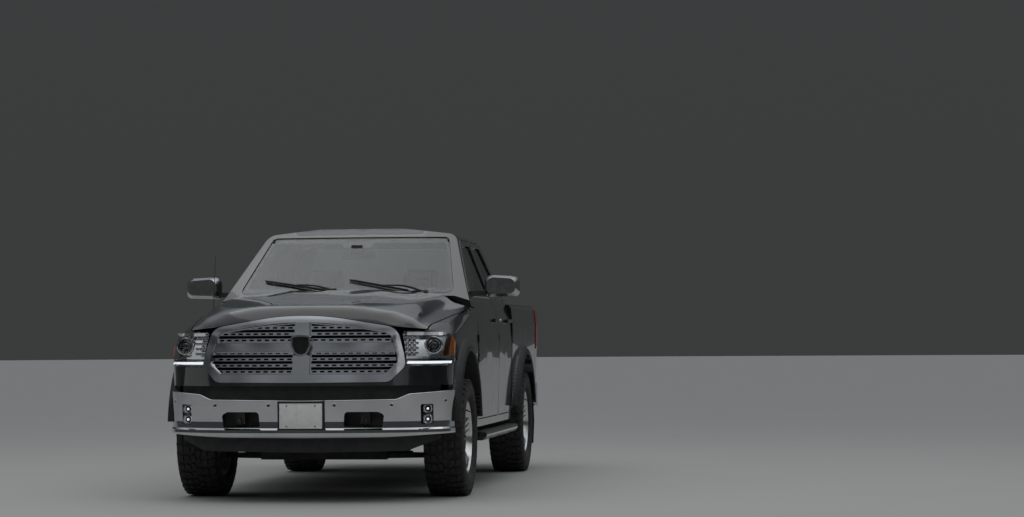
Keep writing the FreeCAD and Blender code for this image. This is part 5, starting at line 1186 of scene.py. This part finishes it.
former = Former(PLASTIC, CHASSIS, CAST)
for sign in SIGNS:
    coil(former, (sign * 0.5395, AXLE_FRONT, 0.322), (sign * 0.5275, AXLE_FRONT, 0.520), 0.0585, 0.0072, 4.2)
    for z, x in ((0.312, 0.5402), (0.528, 0.5270)):
        former.lathe([(-0.004, 0.043), (-0.004, 0.066), (0.004, 0.068), (0.004, 0.043)],
                     (sign * x, AXLE_FRONT, z), UP, 40, 1)
former.done("front_coils", "chassis", crease=40)

former = Former(CHASSIS, CAST)
for sign in SIGNS:
    for y in (AXLE_REAR - 0.045, AXLE_REAR + 0.045):
        for x in (0.5195, 0.6005):
            former.tube([(sign * x, y, 0.350), (sign * x, y, 0.535)], 0.0065, 1)
            former.lathe([(0, 0), (0, 0.010), (0.010, 0.010), (0.010, 0)], (sign * x, y, 0.356), DOWN, 6, 1)
        former.tube([(sign * x, y, z) for x, z in ((0.5195, 0.530), (0.5195, 0.541), (0.530, 0.545), (0.590, 0.545),
                                                   (0.6005, 0.541), (0.6005, 0.530))], 0.0065, 1, 10, 1)
    x = sign * 0.56
    former.slab((x - 0.052, AXLE_REAR - 0.07, 0.356), (x + 0.052, AXLE_REAR + 0.07, 0.372), 0.004, 0)
former.done("spring_clamps", "chassis", crease=40)


# Sides: window rubbers and bright strips, filler flap, mud flaps

BED_TREE = surface_of("bed_sides")
LOCK_Y, LOCK_Z = 0.015, 1.25


def door_pieces(end, side, sign):
    body = f"door_{end}_{side}"
    tree = surface_of(body)
    (_, y0, _), (_, y1, _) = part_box(f"glass_{end}_{side}")
    x, way = sign * SIDE_X, (-sign, 0, 0)
    former = Former(RUBBER, CHROME, PLASTIC)
    patches(former, tree, way, (side_rows(x, y0 + 0.01, y1 - 0.01, 1.432, 1.447, 24), 0.004, 0.006, 0),
            (side_rows(x, y0 + 0.01, y1 - 0.01, 1.4265, 1.4335, 24), 0.005, 0.006, 1))
    if end == "front":
        point, normal = hit(tree, (x, LOCK_Y, LOCK_Z), way)
        former.lathe([(-0.002, 0), (-0.002, 0.0115), (0.0015, 0.0115), (0.003, 0.009), (0.003, 0)],
                     point, normal, 28, 1)
    former.done(f"window_trim_{end}_{side}", "black_plastic", body)


for door in DOORS:
    door_pieces(*door)

former = Former(GLOSS_PLASTIC, PAINT)
y, z, reach, width = 1.12, 1.17, 0.098, 0.004
for a, b, c, d in ((-reach, reach, reach - width, reach), (-reach, reach, -reach, -reach + width),
                   (-reach, -reach + width, -reach, reach), (reach - width, reach, -reach, reach)):
    patch(former, BED_TREE, (-1, 0, 0), side_rows(SIDE_X, y + a, y + b, z + c, z + d, 8, 6), 0.0006, 0.004)
patch(former, BED_TREE, (-1, 0, 0), side_rows(SIDE_X, 1.030, 1.210, 1.080, 1.260, 10, 10), 0.0008, 0.002, 1)
former.lathe([(-0.002, 0), (-0.002, 0.010), (0.002, 0.010), (0.002, 0)],
             hit(BED_TREE, (SIDE_X, 1.045, 1.17), (-1, 0, 0))[0], (1, 0, 0), 24, 0)
former.done("filler_flap", "paint")

former = Former(RUBBER, CAST)
y = AXLE_REAR + 0.622
for sign in SIGNS:
    outline = [(0.800, 0.590), (1.000, 0.590), (1.008, 0.400), (1.000, 0.215), (0.990, 0.205), (0.812, 0.205),
               (0.802, 0.215)]
    former.prism([(sign * x, y, z) for x, z in outline], (0, 0.007, 0), 0, 0.002)
    for z in (0.30, 0.36, 0.42):
        former.slab((sign * 0.9 - 0.080, y - 0.003, z - 0.006), (sign * 0.9 + 0.080, y + 0.001, z + 0.006), 0.002, 0)
    for x in (0.84, 0.90, 0.96):
        former.lathe([(0.0, 0), (0.0, 0.009), (-0.004, 0.009), (-0.006, 0.006), (-0.006, 0)],
                     (sign * x, y, 0.572), AHEAD, 18, 1)
former.done("mud_flaps", "black_plastic")


# Load bed: rail caps, tie-downs, tailgate handle, lamps, rear bumper pads and plate

GATE_TREE = surface_of("tailgate")
TAIL_TREE = surface_of("tail_lamps")
REAR_TREE = surface_of("rear_bumper")
bed_low, bed_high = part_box("bed_sides")
former = Former(PLASTIC, CAST)
for sign in SIGNS:
    x = sign * 0.9055
    former.slab((x - 0.0385, bed_low[1] + 0.012, 1.380), (x + 0.0385, bed_high[1] - 0.012, 1.3895), 0.0035, 0, 3)
    for y in np.linspace(bed_low[1] + 0.25, bed_high[1] - 0.25, 4):
        former.slab((x - 0.020, y - 0.030, 1.3885), (x + 0.020, y + 0.030, 1.3910), 0.001, 0)
former.done("rail_caps", "black_plastic", crease=35)

former = Former(CAST, PLASTIC)
for sign in SIGNS:
    for y in (bed_low[1] + 0.20, bed_high[1] - 0.22):
        x = sign * 0.841
        former.slab((x - 0.004, y - 0.035, 1.150), (x + 0.004, y + 0.035, 1.210), 0.002, 1)
        ring = [(sign * (0.833 - 0.010 * math.sin(a / 2)), y + 0.020 * math.cos(a), 1.176 + 0.022 * math.sin(a))
                for a in np.linspace(0, math.tau, 25)]
        former.tube(ring, 0.0042, 0, 8)
former.done("tie_downs", "steel", crease=35)


def tailgate_handle():
    former = Former(GLOSS_PLASTIC, CHROME, PLASTIC, BLACK_GLASS, CAST)
    patches(former, GATE_TREE, BACK, (back_rows(-0.130, 0.130, 1.245, 1.325, 14, 6), 0.004, 0.006, 2),
            (back_rows(-0.105, 0.105, 1.262, 1.309, 12, 6), 0.0115, 0.009, 1),
            (back_rows(-0.100, 0.100, 1.262, 1.270, 12, 3), 0.0135, 0.004, 0))
    former.lathe([(-0.006, 0), (-0.006, 0.009), (0.001, 0.009), (0.0025, 0.007), (0.0025, 0)],
                 from_behind(GATE_TREE, 0.150, 1.285)[0], AHEAD, 24, 4)
    former.lathe([(-0.004, 0), (-0.004, 0.012), (0.004, 0.011), (0.006, 0.008), (0.006, 0)],
                 from_behind(GATE_TREE, 0, 1.232)[0], AHEAD, 28, 3)
    for z in (1.190, 0.975):
        patch(former, GATE_TREE, BACK, back_rows(-0.700, 0.700, z - 0.004, z + 0.004, 40), 0.0008, 0.003, 0)
    former.done("tailgate_fittings", "chrome", "tailgate")


tailgate_handle()

dressed("tail_lamps", (RED_LENS,), None)
former = Former(GLOSS_PLASTIC, RED_LENS, CHROME, ENAMEL)
for sign in SIGNS:
    for low, high, finish, lift in ((1.025, 1.031, 0, 0.002), (1.341, 1.347, 0, 0.002), (1.103, 1.109, 2, 0.0015),
                                    (1.171, 1.177, 2, 0.0015), (1.245, 1.250, 0, 0.001)):
        patch(former, TAIL_TREE, BACK, back_rows(sign * 0.915, sign * 0.968, low, high, 8), lift, 0.004, finish)
    patch(former, TAIL_TREE, BACK, back_rows(sign * 0.925, sign * 0.960, 1.118, 1.162, 6, 4), 0.0012, 0.003, 3)
    for z in (1.213, 1.298, 1.066):
        point, _ = from_behind(TAIL_TREE, sign * 0.942, z)
        former.lathe([(-0.002, 0.0175), (0.002, 0.0175), (0.0028, 0.0155), (0.0015, 0.0135), (-0.002, 0.0135)],
                     point, AHEAD, 36, 2)
        former.lathe([(-0.002, 0), (-0.002, 0.012), (0.001, 0.011), (0.003, 0.006), (0.0035, 0)], point, AHEAD, 28, 1)
former.done("tail_lamp_parts", "tail_lamp")


def from_above(x_from, x_to, y_from, y_to, columns, rows=2):
    return spread(lambda x, y: (x, y, ABOVE_Z), x_from, x_to, y_from, y_to, columns, rows)


rear_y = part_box("rear_bumper")[1][1]
former = Former(PLASTIC, ENAMEL, CAST, LAMP_WHITE, CHROME)
for x, half in ((0.0, 0.165), (0.62, 0.26), (-0.62, 0.26)):
    patch(former, REAR_TREE, DOWN, from_above(x - half, x + half, rear_y - 0.105, rear_y - 0.030, 16, 5), 0.004, 0.006)
    half *= 0.95
    for y in np.linspace(rear_y - 0.098, rear_y - 0.038, 6):
        patch(former, REAR_TREE, DOWN, from_above(x - half, x + half, y - 0.003, y + 0.003, 12), 0.0065, 0.004)
plate_y = rear_y - 0.0205
former.slab((-0.157, plate_y - 0.002, 0.572), (0.157, plate_y + 0.006, 0.700), 0.004, 0)
former.slab((-0.150, plate_y + 0.004, 0.580), (0.150, plate_y + 0.0085, 0.692), 0.0012, 1)
for x in (-0.11, 0.11):
    former.lathe([(0.006, 0), (0.006, 0.0065), (0.0105, 0.0045), (0.0105, 0)], (x, plate_y, 0.680), AHEAD, 18, 2)
for x in (-0.75, -0.32, 0.32, 0.75):
    parking_sensor(former, *from_behind(REAR_TREE, x, 0.625), 4)
former.done("rear_bumper_fittings", "black_plastic")


# Underside: frame bolts, exhaust clamps and hangers

FRAME_TREE = surface_of("ladder_frame")
former = Former(CAST, CHASSIS)
for sign in SIGNS:
    for y in np.arange(AXLE_FRONT - 0.5, AXLE_REAR + 0.9, 0.30):
        point, normal = hit(FRAME_TREE, (sign * 0.43, y, BELOW_Z), UP)
        if point is None or point.z > 0.75:
            continue
        for dx in (-0.018, 0.018):
            former.lathe([(0.002, 0), (0.002, 0.0105), (-0.007, 0.0105), (-0.009, 0.008), (-0.009, 0)],
                         point + Vector((dx, 0, 0)), UP, 6, 0)
for y in (-0.33, 0.36):
    former.lathe([(-0.012, 0.0325), (-0.012, 0.0375), (0.012, 0.0375), (0.012, 0.0325)],
                 (-0.250, y, 0.355), AHEAD, 40, 0)
    former.tube([(-0.250, y, 0.392), (-0.250, y, 0.404)], 0.008, 0, 8)
former.done("frame_bolts", "chassis")


# Interior: padded seats

def flatten(piece):
    """Applies an object's modifiers to its mesh."""
    graph = bpy.context.evaluated_depsgraph_get()
    graph.update()
    mesh = bpy.data.meshes.new_from_object(piece.evaluated_get(graph))
    piece.modifiers.clear()
    piece.data = mesh
    return mesh


PAD_PRESSURE, PAD_SWELL, PAD_STEPS = 4.0, 0.011, 20
SEAM, PANEL_EDGE = 0.006, 0.66  # a sewn channel's width and depth; how far the middle panel reaches


class Pad:
    """One cushion: a bevelled box blown up as cloth, then creased along its sewn channels."""

    def __init__(self, name, low, high, channels, upright=False, voxel=0.011):
        self.low, self.channels = Vector(low), channels
        self.middle, self.half = (self.low + Vector(high)) / 2, (Vector(high) - self.low) / 2
        self.face, self.along, self.way = (1, 2, -1) if upright else (2, 1, 1)
        former = Former(LEATHER)
        former.slab(low, high, min(self.half) * 0.55, 0, 3)
        self.piece = bpy.data.objects.new(name, former.mesh(name, 180, WELD))
        bpy.context.scene.collection.objects.link(self.piece)
        even = self.piece.modifiers.new("even", "REMESH")
        even.mode = "VOXEL"
        even.voxel_size = voxel * 1
        flatten(self.piece)
        self.rest = [v.co.copy() for v in self.piece.data.vertices]

    def load(self):
        held = [i for i, co in enumerate(self.rest)
                if (co[self.face] - self.middle[self.face]) * self.way < -0.7 * self.half[self.face]]
        self.piece.vertex_groups.new(name="held").add(held, 1.0, "REPLACE")
        settings = self.piece.modifiers.new("cloth", "CLOTH").settings
        settings.quality = 3
        settings.use_pressure = True
        settings.uniform_pressure_force = PAD_PRESSURE
        settings.effector_weights.gravity = 0.0
        settings.vertex_group_mass = "held"

    def settle(self, cap):
        mesh = flatten(self.piece)
        for vertex, start in zip(mesh.vertices, self.rest):
            move = vertex.co - start
            if move.length > cap:
                vertex.co = start + move * (cap / move.length)

    def sew(self):
        fine = self.piece.modifiers.new("fine", "SUBSURF")
        fine.levels = fine.render_levels = 1
        mesh = flatten(self.piece)
        low, length = self.low[self.along], 2 * self.half[self.along]
        for vertex in mesh.vertices:
            co = vertex.co
            raised = (co[self.face] - self.middle[self.face]) * self.way / self.half[self.face]
            if raised < 0.1:
                continue
            reach = abs(co.x - self.middle.x) / self.half.x
            sag = max(math.exp(-((co[self.along] - low - length * share) / SEAM) ** 2) for share in self.channels)
            sag *= 1 if reach < PANEL_EDGE else 0
            sag = max(sag, math.exp(-((reach - PANEL_EDGE) * self.half.x / SEAM) ** 2))
            co[self.face] -= self.way * SEAM * sag * min(1.0, raised)
        for polygon in mesh.polygons:
            polygon.use_smooth = True
        mesh.materials.clear()
        mesh.materials.append(LEATHER)
        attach(self.piece, "root")


def seats():
    pads = []
    for tag, x in (("left", 0.37), ("right", -0.37)):
        for name, half, (y0, z0), (y1, z1), channels, upright in (
                ("seat_base", 0.252, (-0.518, 0.776), (-0.030, 0.914), (0.22, 0.45, 0.68), False),
                ("seat_back", 0.252, (0.008, 0.826), (0.120, 1.440), (0.2, 0.4, 0.6, 0.8), True),
                ("head_rest", 0.134, (0.016, 1.480), (0.100, 1.652), (0.5,), True)):
            pads.append(Pad(f"{name}_{tag}", (x - half, y0, z0), (x + half, y1, z1), channels, upright))
    pads.append(Pad("bench_base", (-0.692, 0.316, 0.776), (0.692, 0.700, 0.914), (0.25, 0.6), False, 0.014))
    pads.append(Pad("bench_back", (-0.692, 0.718, 0.816), (0.692, 0.830, 1.440), (0.2, 0.45, 0.7), True, 0.014))
    for pad in pads:
        pad.load()
    for step in range(PAD_STEPS):
        bpy.context.scene.frame_set(step + 1)
    for pad in pads:
        pad.settle(PAD_SWELL)
    bpy.context.scene.frame_set(1)
    for pad in pads:
        pad.sew()


seats()
former = Former(TRIM, CHROME, LEATHER)
for x in (-0.37, 0.37):
    former.slab((x - 0.200, -0.463, 0.592), (x + 0.200, -0.040, 0.785), 0.012, 0)
    former.slab((x - 0.150, -0.045, 0.795), (x + 0.150, 0.094, 0.890), 0.012, 0)
    for dx in (-0.05, 0.05):
        former.tube([(x + dx, 0.058, 1.42), (x + dx, 0.058, 1.50)], 0.0065, 1, 12)
    for dx in (-0.215, 0.215):
        former.slab((x + dx - 0.020, -0.450, 0.592), (x + dx + 0.020, 0.080, 0.622), 0.004, 0)
former.slab((-0.640, 0.371, 0.592), (0.640, 0.700, 0.785), 0.012, 0)
for x in (-0.42, 0.0, 0.42):
    former.slab((x - 0.115, 0.742, 1.436), (x + 0.115, 0.806, 1.448), 0.004, 2, 3)
former.done("seat_frames", "seat", replaced=("seats",), crease=40, merge=WELD)


# Dash, steering wheel and console

DASH_TREE = surface_of("dashboard")


def dash_rows(*limits):
    return grid(*limits, y=DASH_Y)


former = Former(BLACK_GLASS, CHROME, GLOSS_PLASTIC, TRIM, PLASTIC)
patches(former, DASH_TREE, BACK, (dash_rows(-0.135, 0.135, 1.035, 1.215, 10, 8), 0.006, 0.010, 2),
        (dash_rows(-0.115, 0.115, 1.075, 1.205, 10, 8), 0.0085, 0.006, 0),
        (dash_rows(-0.100, 0.100, 0.985, 1.025, 8, 3), 0.005, 0.006, 2))
for x in (-0.70, -0.21, 0.20, 0.70):
    patch(former, DASH_TREE, BACK, dash_rows(x - 0.055, x + 0.055, 1.085, 1.165, 6, 4), 0.004, 0.006, 2)
    for z in np.linspace(1.096, 1.154, 6):
        patch(former, DASH_TREE, BACK, dash_rows(x - 0.047, x + 0.047, z - 0.003, z + 0.003, 6), 0.008, 0.006, 4)
patch(former, DASH_TREE, BACK, dash_rows(-0.66, -0.20, 1.000, 1.008, 10), 0.003, 0.004, 1)
for x in (-0.07, -0.035, 0.0, 0.035, 0.07):
    former.lathe([(0, 0), (0, 0.012), (0.016, 0.010), (0.018, 0.007), (0.018, 0)],
                 hit(DASH_TREE, (x, DASH_Y, 1.005), BACK)[0], AHEAD, 24, 1)
former.slab((-0.095, -0.640, 0.889), (0.095, -0.380, 0.896), 0.003, 2)
former.slab((-0.100, -0.330, 0.889), (0.100, -0.100, 0.925), 0.012, 3, 3)
for x in (-0.045, 0.045):
    former.lathe([(0, 0.036), (0.004, 0.041), (0.006, 0.041), (0.006, 0.034), (0, 0.034)], (x, -0.44, 0.894), UP, 32, 1)
former.tube([(0.0, -0.560, 0.890), (0.0, -0.565, 0.950), (0.0, -0.575, 0.985)], [0.010, 0.008, 0.012], 2, 14, 1)
former.lathe([(-0.020, 0.0), (-0.020, 0.014), (0.0, 0.022), (0.026, 0.020), (0.036, 0.012), (0.038, 0.0)],
             (0, -0.576, 0.992), (0, -0.2, 1), 28, 4)
former.slab((0.225, -0.742, 1.206), (0.515, -0.670, 1.214), 0.003, 3)
former.done("dash_parts", "trim", merge=WELD)

WHEEL_MATRIX = Matrix.Translation((0.37, -0.5255, 1.290)) @ Matrix.Rotation(math.radians(-62), 4, "X")


def on_wheel(points):
    return [WHEEL_MATRIX @ Vector(p) for p in points]


former = Former(LEATHER, CHROME, PLASTIC, GLOSS_PLASTIC)
ring = on_wheel([(math.cos(a) * 0.178, math.sin(a) * 0.178, 0) for a in np.linspace(0, math.tau, 73)])
former.tube(ring, 0.0172, 0, 16)
centre, front = WHEEL_MATRIX.translation, WHEEL_MATRIX.to_3x3() @ UP
former.lathe([(-0.032, 0), (-0.032, 0.060), (0.012, 0.066), (0.024, 0.058), (0.030, 0.040), (0.032, 0.0)],
             centre, front, 48, 2)
former.lathe([(0.030, 0.026), (0.0335, 0.027), (0.0335, 0.0235), (0.030, 0.0235)], centre, front, 40, 1)
for a in (0.0, math.pi, -math.pi / 2):
    for shift in (-0.012, 0.012):
        aside = Vector((-math.sin(a), math.cos(a), 0)) * shift
        points = [Vector((math.cos(a) * r, math.sin(a) * r, 0.006)) + aside for r in (0.055, 0.110, 0.168)]
        former.tube(on_wheel(points), [0.010, 0.008, 0.007], 3, 10, 1)
former.done("steering_wheel", "trim", merge=WELD)


# Door cards

def door_card(end, side, sign):
    body = f"door_{end}_{side}"
    tree = surface_of(body)
    x, way = sign * CABIN_X, Vector((sign, 0, 0))
    y0, y1, pull_y, speaker_y = (-0.88, -0.12, -0.76, -0.78) if end == "front" else (0.26, 0.66, 0.38, 0.52)
    former = Former(TRIM, CHROME, LEATHER, PLASTIC)
    patches(former, tree, way, (side_rows(x, y0, y1, 1.010, 1.060, 14, 3), 0.040, 0.044, 2),
            (side_rows(x, y0, y1, 1.180, 1.190, 14), 0.003, 0.004, 1),
            (side_rows(x, y0 + 0.02, y1 - 0.02, 0.700, 0.800, 12, 3), 0.022, 0.026, 0))
    spot, _ = hit(tree, (x, pull_y, 1.13), way)
    former.slab(spot - Vector((0.008, 0.045, 0.014)), spot + Vector((0.008, 0.045, 0.014)), 0.004, 1)
    spot, _ = hit(tree, (x, speaker_y, 0.88), way)
    for r in (0.030, 0.045, 0.060, 0.075):
        former.lathe([(-0.002, r - 0.003), (0.004, r - 0.002), (0.004, r + 0.002), (-0.002, r + 0.003)],
                     spot, -way, 36, 3)
    former.done(f"door_card_{end}_{side}", "trim", body, merge=WELD)


for door in DOORS:
    door_card(*door)


low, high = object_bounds()
